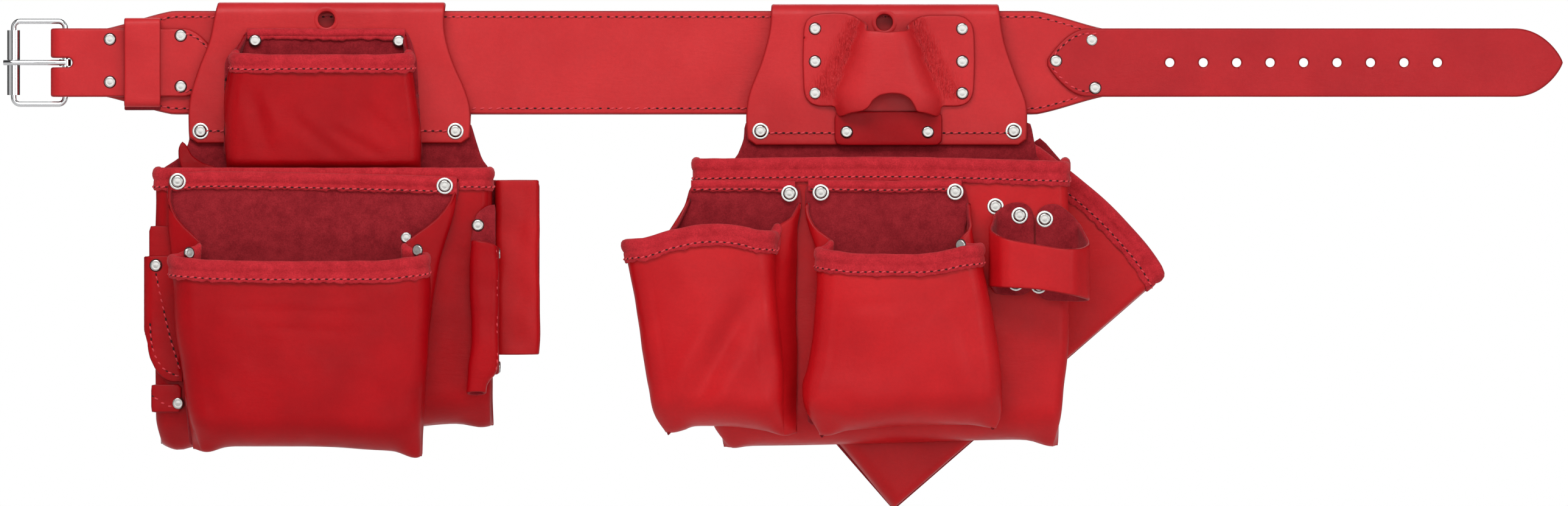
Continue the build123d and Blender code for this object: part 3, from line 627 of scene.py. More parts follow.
def facing_front(points, faces, at=None):
    """Faces turned so that the sheet's normal at a point, or at the foremost, is forward."""
    at = np.argmin(points[:, 1]) if at is None else at
    if normals_of(points, faces)[at][1] > 0:
        return [list(face)[::-1] for face in faces]
    return faces


def settle(obj, body, node=None):
    """Rides obj on its body, in the place of its CAD node or nodes."""
    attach(obj, body)
    claim(node)
    return obj


def claim(node):
    """Hides the CAD node or nodes whose place a new piece takes."""
    if node:
        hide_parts(*([node] if isinstance(node, str) else node))


def panel(name, outline, front, thick, materials, pitch=4.5, wave=0.35, seed=1, lift=None):
    """Flat sheet parallel to the belt whose front face is at that forward distance."""
    flat, faces = pattern(outline, pitch=pitch)
    points = upright(flat, front)
    points[:, 1] -= wave * waves(points, 70.0, seed)
    if lift is not None:
        points[:, 1] -= lift(points)
    return skin(name, points, faces, thick, materials)


# ---- thread ------------------------------------------------------------------------------
STITCH_SIDES, STITCH_RINGS, STITCH_SLANT, STITCH_RADIUS = 6, 7, 14.0, 0.62


def stitches(name, line, normals, body, pitch=6.0, length=4.3, blend=None):
    """Row of slanted stitches along a line on a surface, with painted shade for the holes between
    them.
    """
    line, normals = evenly(line, 0.5, np.broadcast_to(normals, np.shape(line)))
    gone = travelled(line)
    count = max(1, int(gone[-1] / pitch))
    pitch = gone[-1] / count
    points, faces, slots = [], [], []
    random = np.random.default_rng(len(name))

    def at(values, where):
        return np.array([np.interp(where, gone, values[:, k]) for k in range(3)])

    def tube(centres, widths, across, up, slot):
        start = len(points)
        for centre, width in zip(centres, widths):
            for side in range(STITCH_SIDES):
                angle = 2 * math.pi * side / STITCH_SIDES
                points.append(centre + width * (math.cos(angle) * across + math.sin(angle) * up))
        for face in grid_faces(len(centres), STITCH_SIDES, closed=True):
            faces.append([start + v for v in face])
            slots.append(slot)

    for number in range(count):
        middle = (number + 0.5) * pitch
        centre, up = at(line, middle), unit(at(normals, middle))
        ahead = unit(at(line, min(middle + 1, gone[-1])) - at(line, max(middle - 1, 0)))
        across = np.cross(up, ahead)
        turn = math.radians(STITCH_SLANT + random.normal() * 3.0)
        along = math.cos(turn) * ahead + math.sin(turn) * across
        beside = np.cross(up, along)
        reach = length * random.uniform(0.93, 1.05)
        places = np.linspace(-0.5, 0.5, STITCH_RINGS)
        arch = 0.42 - 3.625 * places**2
        centres = [centre + along * reach * t + up * rise for t, rise in zip(places, arch)]
        widths = STITCH_RADIUS * np.sqrt(np.clip(1.02 - (2 * places) ** 4, 0.02, 1))
        tube(centres, widths, beside, up, 0)
        hole = at(line, min(number * pitch, gone[-1]))
        # Painted shade: a flat near-black disc on the surface stands for the shade inside each
        # stitch hole.
        dent = [hole + ahead * t * 1.15 + up * 0.05 for t in (-1, -0.5, 0.5, 1)]
        tube(dent, [0.12, 0.62, 0.62, 0.12], across, up * 0.2, 1)
    obj = make_object(name, points, faces, [THREAD, PAINTED_SHADE], slots)
    if blend:
        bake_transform(obj)
    else:
        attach(obj, body)
    return obj


def flat_stitches(name, line, front, body, **more):
    """Stitches on a flat panel's front, from a line of (x, z) points."""
    return stitches(name, upright(line, front), FORWARD, body, **more)


def rear_stitches(name, line, rear, body):
    """Stitches on a flat panel's rear face."""
    return stitches(name, upright(line, rear), REARWARD, body)


# ---- rivets --------------------------------------------------------------------------------
def islands(node):
    """Centre, across and outward directions, and outward limits, of each solid of a node."""
    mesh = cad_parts[node].data
    co = np.array([v.co for v in mesh.vertices], float) / MM
    _, spot = np.unique(np.round(co, 2), axis=0, return_inverse=True)
    spot = spot.ravel()
    first, second = spot[np.array([edge.vertices[:] for edge in mesh.edges])].T
    label = np.arange(spot.max() + 1)
    while True:
        lowest = label.copy()
        np.minimum.at(lowest, first, label[second])
        np.minimum.at(lowest, second, label[first])
        if (lowest == label).all():
            break
        label = lowest
    made = []
    for group in (co[label[spot] == one] for one in np.unique(label)):
        low, high = group.min(0), group.max(0)
        centre, size = (low + high) / 2, high - low
        axis, sign = 1, -1
        if abs(size[1] - size[2]) < abs(size[0] - size[2]):
            widest = group[np.argmax(np.abs(group[:, 2] - centre[2]))]
            axis, sign = 0, 1 if widest[0] > centre[0] else -1
        outward = np.zeros(3)
        outward[axis] = sign
        ends = sorted((low[axis] * sign, high[axis] * sign))
        centre[axis] = 0
        made.append((centre, np.cross([0, 0, 1], outward), outward, *ends))
    return sorted(made, key=lambda island: tuple(island[0]))


TURNED_SIDES = 28


def lathe(parts, profile, place, start_at, facing=1, dark=0):
    """Adds a turned shape: profile is (radius, height) pairs, and the first dark bands
    take the second material, which on rivet heads is a painted contact shadow."""
    points, faces, slots = parts
    centre, across, outward = place
    start = len(points)
    for radius, height in profile:
        middle = centre + outward * (start_at + facing * height)
        for side in range(TURNED_SIDES):
            angle = 2 * math.pi * side / TURNED_SIDES * facing
            spot = middle + across * radius * math.cos(angle)
            points.append(spot + np.array([0, 0, radius * math.sin(angle)]))
    for number, face in enumerate(grid_faces(len(profile), TURNED_SIDES, closed=True)):
        faces.append([start + v for v in face])
        slots.append(int(number < dark * TURNED_SIDES))
    faces.append([start + (len(profile) - 1) * TURNED_SIDES + side for side in range(TURNED_SIDES)])
    slots.append(0)


# The first two bands of HEAD, from 4.75 to 4.22 mm, are a painted contact shadow on the leather
# round the head.
HEAD = [
    (4.75, -0.3), (4.7, 0.04), (4.22, 0.1), (4.2, 0.35), (4.05, 0.72), (3.7, 1.0), (3.1, 1.14),
    (2.9, 1.1), (1.6, 1.2), (0.3, 1.24),
]
PEEN = [(2.9, -0.1), (3.0, 0.15), (2.8, 0.5), (2.0, 0.68), (0.5, 0.7)]
RING = [
    (1.6, 0.0), (6.1, 0.0), (6.2, 0.2), (6.1, 0.5), (5.8, 0.62), (5.0, 0.6), (4.0, 0.55),
    (1.6, 0.5),
]
HEAD_SUNK, PEEN_SUNK, HEAD_SHADOW_BANDS = 1.2, 0.7, 2


def hardware(name, parts, materials, body, node):
    """Object from the turned shapes that lathe() added."""
    points, faces, slots = parts
    return settle(make_object(name, points, faces, materials, slots), body, node)


def make_rivets(name, node, body, shift=None):
    """Turned rivets in the place of a node's, lifted by shift(x, z) on a rolled edge."""
    parts = [], [], []
    for *place, back, front in islands(node):
        if shift and place[2][1]:
            front += shift(place[0][0], place[0][2])
        # The head's outer bands take the painted contact shadow.
        lathe(parts, HEAD, place, front - HEAD_SUNK, dark=HEAD_SHADOW_BANDS)
        lathe(parts, PEEN, place, back + PEEN_SUNK, facing=-1)
    return hardware(name, parts, [NICKEL, PAINTED_SHADE], body, node)


def corner_rivets(name, spots, body):
    """Small rivets at pocket corners: each is (x, forward, z, turn to the right in degrees)."""
    parts = [], [], []
    for x, forward, z, turn in spots:
        turn = math.radians(turn)
        outward = np.array([math.sin(turn), -math.cos(turn), 0.0])
        place = np.array([x, -forward, z]), np.cross(UP, outward), outward
        # The head's outer bands take the painted contact shadow.
        lathe(parts, HEAD, place, 0.0, dark=HEAD_SHADOW_BANDS)
    return hardware(name, parts, [NICKEL, PAINTED_SHADE], body, None)


def make_washers(name, node, body, shift=None):
    """Washers in the place of a node's, moved out by shift(x, z)."""
    parts = [], [], []
    for *place, back, _ in islands(node):
        if shift:
            back += shift(place[0][0], place[0][2])
        lathe(parts, RING, place, back)
    return hardware(name, parts, [WASHER], body, node)


# ---- bindings ------------------------------------------------------------------------------
WALL = 3.0


def binding(name, line, outward, up, body, node=None, depth=15.0, stitch=12.3, roll=1.0, seed=3):
    """Suede strip rolled over an edge: line is the edge on the outer face of the wall,
    depth how far the strip reaches down in front, stitch how far down its seam is."""
    shape = np.shape(line)
    outward, up = np.broadcast_to(outward, shape), np.broadcast_to(up, shape)
    line, outward, up = evenly(line, 1.3, outward, up)
    outward, up = unit(outward), unit(up)
    count = len(line)
    inner = min(depth - 3.0, 12.0)
    profile = np.array([
        (0.05, -depth), (1.2, -depth - 0.1), (1.85, -depth + 0.9), (1.95, -depth + 3.5),
        (1.75, -8.2 * roll), (1.35, -7.3 * roll), (1.9, -6.2 * roll), (2.5, -4.4 * roll),
        (2.6, -2.2 * roll), (1.9, 0.3), (0.4, 1.7), (-WALL / 2, 2.1), (-WALL - 0.4, 1.7),
        (-WALL - 1.9, 0.3), (-WALL - 2.3, -2.2), (-WALL - 2.0, -5.0), (-WALL - 1.8, -inner + 1.0),
        (-WALL - 1.2, -inner), (-WALL - 0.05, -inner), (-WALL + 0.1, -2.0), (-0.1, -2.0),
    ])
    random = np.random.default_rng(seed)
    fray = np.convolve(random.normal(size=count + 2), [0.25, 0.5, 0.25], "valid")
    lump = waves(line, 16.0, seed)
    points = []
    for k, (out, rise) in enumerate(profile):
        offset = np.full(count, out)
        height = np.full(count, rise)
        if k <= 2:
            height += 0.6 * fray + 0.2 * lump
            offset += 0.22 * np.abs(fray) * (k > 0)
        elif 5 <= k <= 11:
            offset += 0.12 * lump
            height += 0.1 * lump
        points.append(line + outward * offset[:, None] + up * height[:, None])
    sides = len(profile)
    points = np.stack(points, 1).reshape(-1, 3)
    faces = [face[::-1] for face in grid_faces(count, sides, closed=True)]
    faces.append(list(range(sides)))
    faces.append([(count - 1) * sides + side for side in reversed(range(sides))])
    obj = settle(make_object(name, points, faces, [TRIM]), body, node)
    if stitch:
        seam = line + outward * 1.9 - up * stitch
        trimmed = slice(2, -2)
        stitches(name + "_stitches", seam[trimmed], outward[trimmed], body, pitch=5.3, length=3.9)
    return obj


# ---- pouches -------------------------------------------------------------------------------
SIDE, CORNER = 14, 9
TURN_SHARE = 0.06


class Pouch:
    """Open-topped pouch in front of a panel.  Columns run round it from the left rear edge
    to the right rear one, and rows go up.  left, right: x of the front's sides at heights z;
    rear_left, rear_right: the same at the back.  side_top: heights along each side from rear
    to front, with right_top where the right side differs; rim, bottom: heights along the front
    from left to right; tuck, right_tuck: how far each gusset folds in; under: the height over
    which the bottom rounds; ears: (x, z, push) of corners pulled out; dents: creases."""

    def __init__(self, box, left, right, rear_left, rear_right, rim, side_top, bottom,
                 corner=14.0, belly=2.5, tuck=((0, 0), (1, 0)), under=20.0, ears=(),
                 front_count=46, rows=52, tuck_reach=0.45, dents=(), seed=1, ripple=0.5,
                 right_tuck=None, right_top=None):
        back, depth = box.back, box.front - box.back
        fronts = through(left), through(right)
        rears = through(rear_left), through(rear_right)
        rim_at, low_at = through(rim), through(bottom)
        tops = through(side_top), through(right_top or side_top)
        tucks = through(tuck), through(right_tuck or tuck)
        v = np.linspace(0, 1, rows) ** 1.15

        def flank(side):
            parts = [("side", k / SIDE) for k in range(SIDE)]
            parts += [("corner", k / CORNER) for k in range(CORNER)]
            return [(kind, side, t) for kind, t in parts]

        front = [("front", 0, t) for t in np.linspace(0, 1, front_count)]
        columns = flank(0) + front + flank(1)[::-1]
        grid = []
        for kind, side, t in columns:
            sign = -1 if side == 0 else 1
            if kind == "front":
                across = TURN_SHARE + (1 - 2 * TURN_SHARE) * t
            elif kind == "corner":
                across = TURN_SHARE * t if side == 0 else 1 - TURN_SHARE * t
            else:
                across = float(side)
            top = rim_at(across)
            if kind == "side":
                blend = step((t - 0.8) / 0.2)
                top = tops[side](t) * (1 - blend) + top * blend
            low = low_at(across)
            z = low + (top - low) * v
            rise = np.clip((z - low) / under, 0, 1)
            full = 0.1 + 0.9 * np.sqrt(np.clip(1 - (1 - rise) ** 2.2, 0, 1))
            edge_x, rear_x = fronts[side](z), rears[side](z)
            if kind == "side":
                x = rear_x + (edge_x - rear_x) * t
                fold = step((v - 1 + tuck_reach) / tuck_reach)
                x = x - sign * tucks[side](t) * fold
                out = (depth - corner) * t
            elif kind == "corner":
                angle = t * math.pi / 2
                x = edge_x - sign * corner * (1 - math.cos(angle))
                out = depth - corner + corner * math.sin(angle)
            else:
                left_x, right_x = fronts[0](z) + corner, fronts[1](z) - corner
                x = left_x + (right_x - left_x) * t
                bulge = np.sin(math.pi * t) ** 0.8 * np.sin(math.pi * v**0.8) ** 0.6
                out = depth + belly * bulge
            grid.append(np.stack([x * np.ones(rows), -back - out * full, z], 1))
        points = np.stack(grid, 1).reshape(-1, 3)
        self.columns = len(columns)
        for ear_x, ear_z, push in ears:
            aside, above = (points[:, 0] - ear_x) / 11.0, (points[:, 2] - ear_z) / 12.0
            near = np.exp(-(aside**2) - above**2)
            points[:, 0] += push[0] * near
            points[:, 2] += push[1] * near
            points[:, 1] += (-(back + 0.45 * depth) - points[:, 1]) * 0.55 * near
        self.faces = grid_faces(rows, self.columns)
        normal = normals_of(points, self.faces)
        height = np.repeat(v, self.columns)
        soft = np.clip(np.minimum(height, 1 - height) * 9, 0, 1)
        push = ripple * (waves(points, 75.0, seed) + 0.2 * waves(points, 24.0, seed + 1)) * soft
        for dent in dents:
            push += crease(points, *dent) * soft
        points += normal * push[:, None]
        self.points = points.reshape(rows, self.columns, 3)

    def build(self, name, body, node, leather):
        flat = self.points.reshape(-1, 3)
        settle(skin(name, flat, self.faces, WALL, [leather, SUEDE]), body, node)

    def finish(self, name, body, inset, leather=None, **trim):
        """The pouch's leather and the binding on its rim, which starts inset columns back."""
        self.build(f"{name}_leather", body, f"{name}_body", leather or BAG)
        binding(f"{name}_trim", *self.rim(inset), body, f"{name}_binding", **trim)

    def rim(self, inset):
        """Top edge of the front with its outward and upward directions."""
        start, end = SIDE - inset, self.columns - SIDE + inset
        top = self.points[-1, start:end]
        up = unit(top - self.points[-3, start:end])
        along = unit(np.gradient(top, axis=0))
        outward = unit(np.cross(along, up))
        for _ in range(2):
            outward[1:-1] = unit(outward[:-2] + outward[1:-1] * 2 + outward[2:])
        return top, outward, up


# ---- belt ------------------------------------------------------------------------------------
ROUTE_PITCH = 0.8
FLEX, FLEX_REACH = 30.0, 0.026
PAD_SHOULDER, PAD_END_HALF, PAD_ROWS = 320.0, 24.8, 12


def pad_half(x):
    """Half the pad's height at x: full along its length, tapering to the strap at both ends."""
    full = span("pad_face_centre").top
    end = span("pad_face_right").right
    share = (np.abs(x) - PAD_SHOULDER) / (end - PAD_SHOULDER)
    taper = 0.35 * step(share * 0.92) + 0.65 * np.clip(share, 0, 1)
    return full - (full - PAD_END_HALF) * taper


def make_pad():
    """Both layers of the pad in two halves that meet in the middle."""
    full, end = span("pad_face_centre").top, span("pad_face_right").right
    layers = (
        ("lining", [SUEDE, LINING], "lining_suede", 0.35),
        ("face", [BELT, LINING], "belt_leather", 0.0),
    )
    for side, sign in (("left", -1), ("right", 1)):
        bodies = ("belt_centre", f"belt_{side}")
        hinge = sign * FLEX * MM
        bend = {
            "start": (hinge - sign * FLEX_REACH, 0, 0), "end": (hinge + sign * FLEX_REACH, 0, 0),
        }
        for layer, materials, slot, grow in layers:
            box = span(f"pad_{layer}_{side}")
            x = np.linspace(0, end, 84)
            top = np.stack([x, pad_half(x) + grow], 1)
            down = np.linspace(1, -1, PAD_ROWS + 2)[1:-1]
            far = np.stack([np.full(PAD_ROWS, end), down * (PAD_END_HALF + grow)], 1)
            near = np.stack([np.zeros(PAD_ROWS), -down * (full + grow)], 1)
            loop = np.concatenate([top, far, top[::-1] * [1, -1], near])
            loop[:, 0] *= sign
            flat, faces = pattern(loop[::-sign], pitch=5.0)
            points = upright(flat, box.front)
            calm = np.clip(np.abs(points[:, 0]) / 20, 0, 1)
            points[:, 1] -= 0.22 * waves(points, 90.0, 5) * calm
            thick = box.front - box.back - 0.15
            obj = skin(f"pad_{layer}_{side}_skin", points, faces, thick, materials, open_at=(0.0,))
            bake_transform(obj)
            centre = [f"pad_{layer}_centre"] if sign < 0 else []
            claim([f"pad_{layer}_{side}", *centre])
        for edge, up in (("top", 1), ("bottom", -1)):
            x = np.linspace(3.0, end - 6.0, 90)
            line = np.stack([sign * x, up * (pad_half(x) - 4.2)], 1)
            flat_stitches(
                f"pad_{side}_{edge}_stitches", line, span(f"pad_face_{side}").front, None,
                blend=(bodies, bend),
            )


def route_line(corners, radii):
    """Dense line through corners in a plane, each rounded with its own radius."""
    corners = np.array(corners, float)
    line = [corners[0]]
    for before, corner, after, radius in zip(corners, corners[1:], corners[2:], radii):
        a, b = unit(before - corner), unit(after - corner)
        half = math.acos(float(np.clip(a @ b, -1, 1))) / 2
        trim = radius / math.tan(half)
        centre = corner + unit(a + b) * radius / math.sin(half)
        start, end = corner + a * trim - centre, corner + b * trim - centre
        angle = math.acos(float(np.clip(start @ end / radius**2, -1, 1)))
        count = max(3, int(angle * radius / ROUTE_PITCH) + 2)
        for t in np.linspace(0, 1, count):
            turned_to = math.sin((1 - t) * angle) * start + math.sin(t * angle) * end
            line.append(centre + turned_to / math.sin(angle))
    line.append(corners[-1])
    return np.array(line)


class Bent:
    """Sheet bent along a line in a plane: turns a distance along it into a point."""

    def __init__(self, line):
        self.line = line
        self.gone = travelled(line)
        self.length = self.gone[-1]

    def at(self, distance):
        return np.stack([np.interp(distance, self.gone, self.line[:, k]) for k in (0, 1)], 1)

    def points(self, distance, z):
        """Points of an upright sheet whose line is (x, forward)."""
        place = self.at(distance)
        return np.stack([place[:, 0], -place[:, 1], z], 1)

    def marks(self, coarse=5.0):
        """Distances that follow every bend and aren't too far apart between them."""
        made = []
        for start, end in zip(self.gone, self.gone[1:]):
            pieces = max(1, int((end - start) / coarse))
            made += list(np.linspace(start, end, pieces, endpoint=False))
        return np.array(made + [self.length])


def make_buckle_strap():
    """Strap folded round the buckle's bar, slotted for the prong, with its pointed end behind."""
    box = span("buckle_strap")
    face = span("tail_strap_1").front
    raised, behind = face + 2.2, -0.1
    sheet = Bent(route_line(
        [(box.right, face), (-321.0, face), (-328.0, raised), (box.left, raised),
         (box.left, box.back), (-396.0, box.back), (-379.0, behind), (-358.0, behind)],
        [10.0, 10.0, 7.7, 7.7, 12.0, 12.0],
    ))
    point_end, tip_half = 26.0, 3.0

    def half_at(distance):
        nose = np.clip(distance / point_end, 0, 1)
        return tip_half + (box.top - tip_half) * np.sin(nose * math.pi / 2) ** 0.85

    marks = sheet.marks(4.0)
    edge = np.stack([half_at(marks), marks], 1)
    loop = np.concatenate([edge, (edge * [-1, 1])[::-1]])
    slot_half, slot_end, inset = 3.45, -394.0, 3
    in_slot = marks[sheet.at(marks)[:, 0] < slot_end]
    low, high = in_slot[0] + inset, in_slot[-1] - inset
    turns = np.linspace(-1.3, 1.3, 9)
    slot = [(-slot_half, d) for d in np.linspace(low, high, 30)]
    slot += [(slot_half * math.sin(a), high + slot_half * math.cos(a)) for a in turns]
    slot += [(slot_half, d) for d in np.linspace(high, low, 30)]
    slot += [(slot_half * math.sin(a), low - slot_half * math.cos(a)) for a in turns[::-1]]
    flat, faces = pattern(loop, [np.array(slot)], 3.6, rows=marks[1:-1])
    points = sheet.points(flat[:, 1], flat[:, 0])
    obj = skin("buckle_strap_leather", points, faces, 3.4, [BELT, LINING])
    settle(obj, "belt_left", "buckle_strap")
    for name, sign in (("top", 1), ("bottom", -1)):
        d = np.linspace(3.5, point_end + 6, 40)
        line = sheet.points(d, sign * (half_at(d) - 4.0))
        stitches(
            f"buckle_strap_{name}_stitches", line, FORWARD, "belt_left", pitch=5.2, length=3.8,
        )
    make_rivets("buckle_end_rivet_caps", "buckle_end_rivets", "belt_left")


def make_keeper():
    box = span("keeper_loop")
    start = (-box.top, box.back + 2)
    corners = [
        start, (-box.top, box.front), (box.top, box.front), (box.top, box.back),
        (-box.top, box.back), start,
    ]
    loop = evenly(route_line(corners, [5.0, 5.0, 4.0, 4.0]), 1.6)[:-1]
    xs = np.linspace(box.left, box.right, 12)
    points = np.array([(x, -f, z) for x in xs for z, f in loop])
    points[:, 1] -= 0.3 * waves(points, 30.0, 8)
    faces = [face[::-1] for face in grid_faces(len(xs), len(loop), closed=True)]
    obj = skin("keeper_leather", points, facing_front(points, faces), 2.4, [BELT, LINING])
    settle(obj, "keeper", "keeper_loop")


TAIL_SPLITS = (431.6, 530.8, 605.2)
TAIL_REACH, TAIL_CUT = 22, 13
FIRST_HOLE, HOLE_PITCH, HOLE_RADIUS, HOLE_COUNT = 419.2, 24.8, 3.3, 9


def make_tail():
    """Tail strap in four pieces."""
    names = ["tail_strap_base", "tail_strap_1", "tail_strap_2", "tail_strap_3", "tail_strap_tip"]
    boxes = [span(name) for name in names]
    half = boxes[1].top
    front, thick = boxes[1].front, boxes[1].front - boxes[1].back
    start, end = boxes[0].left, boxes[-1].right
    nose, tip = 30.0, 36.0

    def half_at(x):
        lead = np.sin(np.clip((x - start) / nose, 0, 1) * math.pi / 2) ** 0.85
        back = np.clip((x - (end - tip)) / tip, 0, 1)
        return (2.0 + (half - 2.0) * lead) * np.clip(1 - back**2.1, 0, 1) ** 0.78 + 0.001

    hinges = [(a.right + b.left) / 2 for a, b in zip(boxes, boxes[1:])]
    edges = [start, *TAIL_SPLITS, end]
    cut = np.linspace(half, -half, TAIL_CUT + 2)[1:-1]
    for number, hinge in enumerate(hinges):
        low, high = edges[number], edges[number + 1]
        xs = np.linspace(low, high, int((high - low) / 3) + 1)
        if number == 0:
            xs = start + (high - start) * np.linspace(0, 1, len(xs) + 8) ** 1.3
        if number == 3:
            xs = end - (end - low) * np.linspace(1, 0, len(xs) + 12) ** 1.5
        upper = np.stack([xs, half_at(xs)], 1)
        loop = [upper[::-1]]
        if number > 0:
            loop.append(np.stack([np.full(TAIL_CUT, low), cut], 1))
        loop.append(upper * [1, -1])
        if number < 3:
            loop.append(np.stack([np.full(TAIL_CUT, high), -cut], 1))
        loop = np.concatenate(loop)
        loop = loop[np.linalg.norm(loop - np.roll(loop, 1, 0), axis=1) > 0.05]
        centres = [FIRST_HOLE + HOLE_PITCH * k for k in range(HOLE_COUNT)]
        holes = [circle((x, 0), HOLE_RADIUS, 24)[::-1] for x in centres if low < x < high]
        flat, faces = pattern(loop, holes, 4.0)
        points = upright(flat, front)
        ends = np.min([np.abs(points[:, 0] - x) for x in TAIL_SPLITS], axis=0)
        points[:, 1] -= 0.16 * waves(points, 60.0, 12) * np.clip(ends / 15, 0, 1)
        name = f"tail_strap_piece_{number + 1}"
        piece = skin(name, points, faces, thick, [TAIL, LINING], open_at=TAIL_SPLITS)
        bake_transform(piece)
        claim(names[3:] if number == 3 else names[number])
    for edge, sign in (("top", 1), ("bottom", -1)):
        x = np.linspace(start + 4.5, start + nose + 8, 40)
        line = np.stack([x, sign * np.maximum(half_at(x) - 4.0, 0.2)], 1)
        flat_stitches(f"tail_{edge}_stitches", line, front, "belt_right", pitch=5.2, length=3.8)
    make_rivets("tail_end_rivet_caps", "tail_end_rivets", "belt_right")


def carry_metal():
    """The buckle's own CAD meshes, shaded smooth."""
    for node in ("buckle_frame", "buckle_prong", "buckle_roller"):
        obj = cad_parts[node]
        obj.data.materials.clear()
        obj.data.materials.append(CHROME)
        obj.data.polygons.foreach_set("use_smooth", [True] * len(obj.data.polygons))


# ---- belt tunnels ------------------------------------------------------------------------------
FLAP_THICK, FLAP_CORNER, FLAP_ENDS = 3.4, 6.0, 44
HANG_HOLE, RIDGE_SIDES = 6.0, 40
RIDGE = [(6.4, 0.02), (7.0, 0.3), (7.8, 0.42), (8.6, 0.3), (9.3, 0.02)]


def corner_pull(distance, radius):
    """How far a rounded corner draws an edge in, at that distance from the sheet's end."""
    reach = np.clip(radius - distance, 0, radius)
    return radius - np.sqrt(radius**2 - reach**2)


def make_tunnel(side, left, right, hang, body, seed):
    """Flap folded over the belt: left and right are its sides' x at heights z."""
    node = f"{side}_belt_tunnel"
    box = span(node)
    joined = span(f"{side}_back_panel").back - FLAP_THICK
    sheet = Bent(route_line(
        [(box.bottom, box.front), (box.top, box.front), (box.top, box.back), (-40.5, box.back),
         (-46.5, joined), (-57.0, joined)],
        [9.5, 5.0, 5.0, 5.0],
    ))
    marks = sheet.marks(4.5)
    heights = sheet.at(marks)[:, 0]
    left_at, right_at = through(left), through(right)
    pull = corner_pull(marks, FLAP_CORNER)
    edge_left = np.stack([left_at(heights) + pull, marks], 1)
    edge_right = np.stack([right_at(heights) - pull, marks], 1)
    base = np.linspace(edge_left[0, 0], edge_right[0, 0], FLAP_ENDS + 2)[1:-1]
    far = np.linspace(edge_right[-1, 0], edge_left[-1, 0], FLAP_ENDS + 2)[1:-1]
    loop = np.concatenate([
        edge_left[::-1], np.stack([base, np.zeros(FLAP_ENDS)], 1),
        edge_right, np.stack([far, np.full(FLAP_ENDS, sheet.length)], 1),
    ])
    hole = circle((hang[0], hang[1] - box.bottom), HANG_HOLE, 28)[::-1]
    flat, faces = pattern(loop, [hole], 4.5, rows=marks[1:-1])
    place = sheet.at(flat[:, 1])
    points = np.stack([flat[:, 0], -place[:, 1], place[:, 0]], 1)
    is_front = flat[:, 1] < box.top - box.bottom - 12
    calm = np.clip(flat[:, 1] / 20, 0.3, 1)
    points[:, 1] -= 0.35 * waves(points, 55.0, seed) * is_front * calm
    obj = skin(f"{side}_flap_leather", points, faces, FLAP_THICK, [FLAP, SUEDE])
    settle(obj, body, node)
    low = box.bottom
    seam = [(left_at(low + 12) + 5, low + 9.3), (right_at(low + 12) - 5, low + 9.3)]
    flat_stitches(f"{side}_flap_seam_stitches", seam, box.front + 0.15, body, pitch=5.6)
    make_rivets(f"{side}_tunnel_rivet_caps", f"{side}_tunnel_rivets", body)
    make_washers(f"{side}_tunnel_washer_rings", f"{side}_tunnel_washers", body)
    rings = [
        upright(circle(hang, radius, RIDGE_SIDES), box.front + rise) for radius, rise in RIDGE
    ]
    faces = [face[::-1] for face in grid_faces(len(RIDGE), RIDGE_SIDES, closed=True)]
    collar = make_object(f"{side}_hang_hole_ridge", np.concatenate(rings), faces, [FLAP])
    settle(collar, body, None)


# ---- left bag ----------------------------------------------------------------------------------
def bound_panel(name, outline, top_line, node, body, depth, stitch, seed, roll=1.0):
    """Suede back panel of a pocket, with its rolled top edge."""
    front = span(node).front
    sheet = panel(name, outline, front, WALL, [SUEDE, SUEDE], wave=0.3, seed=seed)
    settle(sheet, body, node)
    binding(
        name + "_roll", upright(top_line, front), FORWARD, UP, body,
        depth=depth, stitch=stitch, roll=roll, seed=seed,
    )


def plain_piece(name, outline, front, thick, leather, body, node=None, slot="bag_leather", **more):
    """Flat piece of leather parallel to the belt."""
    settle(panel(name, outline, front, thick, [leather, SUEDE], **more), body, node)


def back_sheet(side, outline, body, seed):
    """A bag's suede back panel."""
    box = span(f"{side}_back_panel")
    thick = box.front - box.back
    obj = panel(f"{side}_back_sheet", outline, box.front, thick, [SUEDE, BAG], pitch=6.0, seed=seed)
    settle(obj, body, f"{side}_back_panel")


ROLL_LIFT, BINDING_RISE, REAR_FOLD = 2.3, 2, 3.4


def rim_height(name):
    """Height of a pouch's rim, just under its binding's top."""
    return span(f"{name}_binding").top - BINDING_RISE


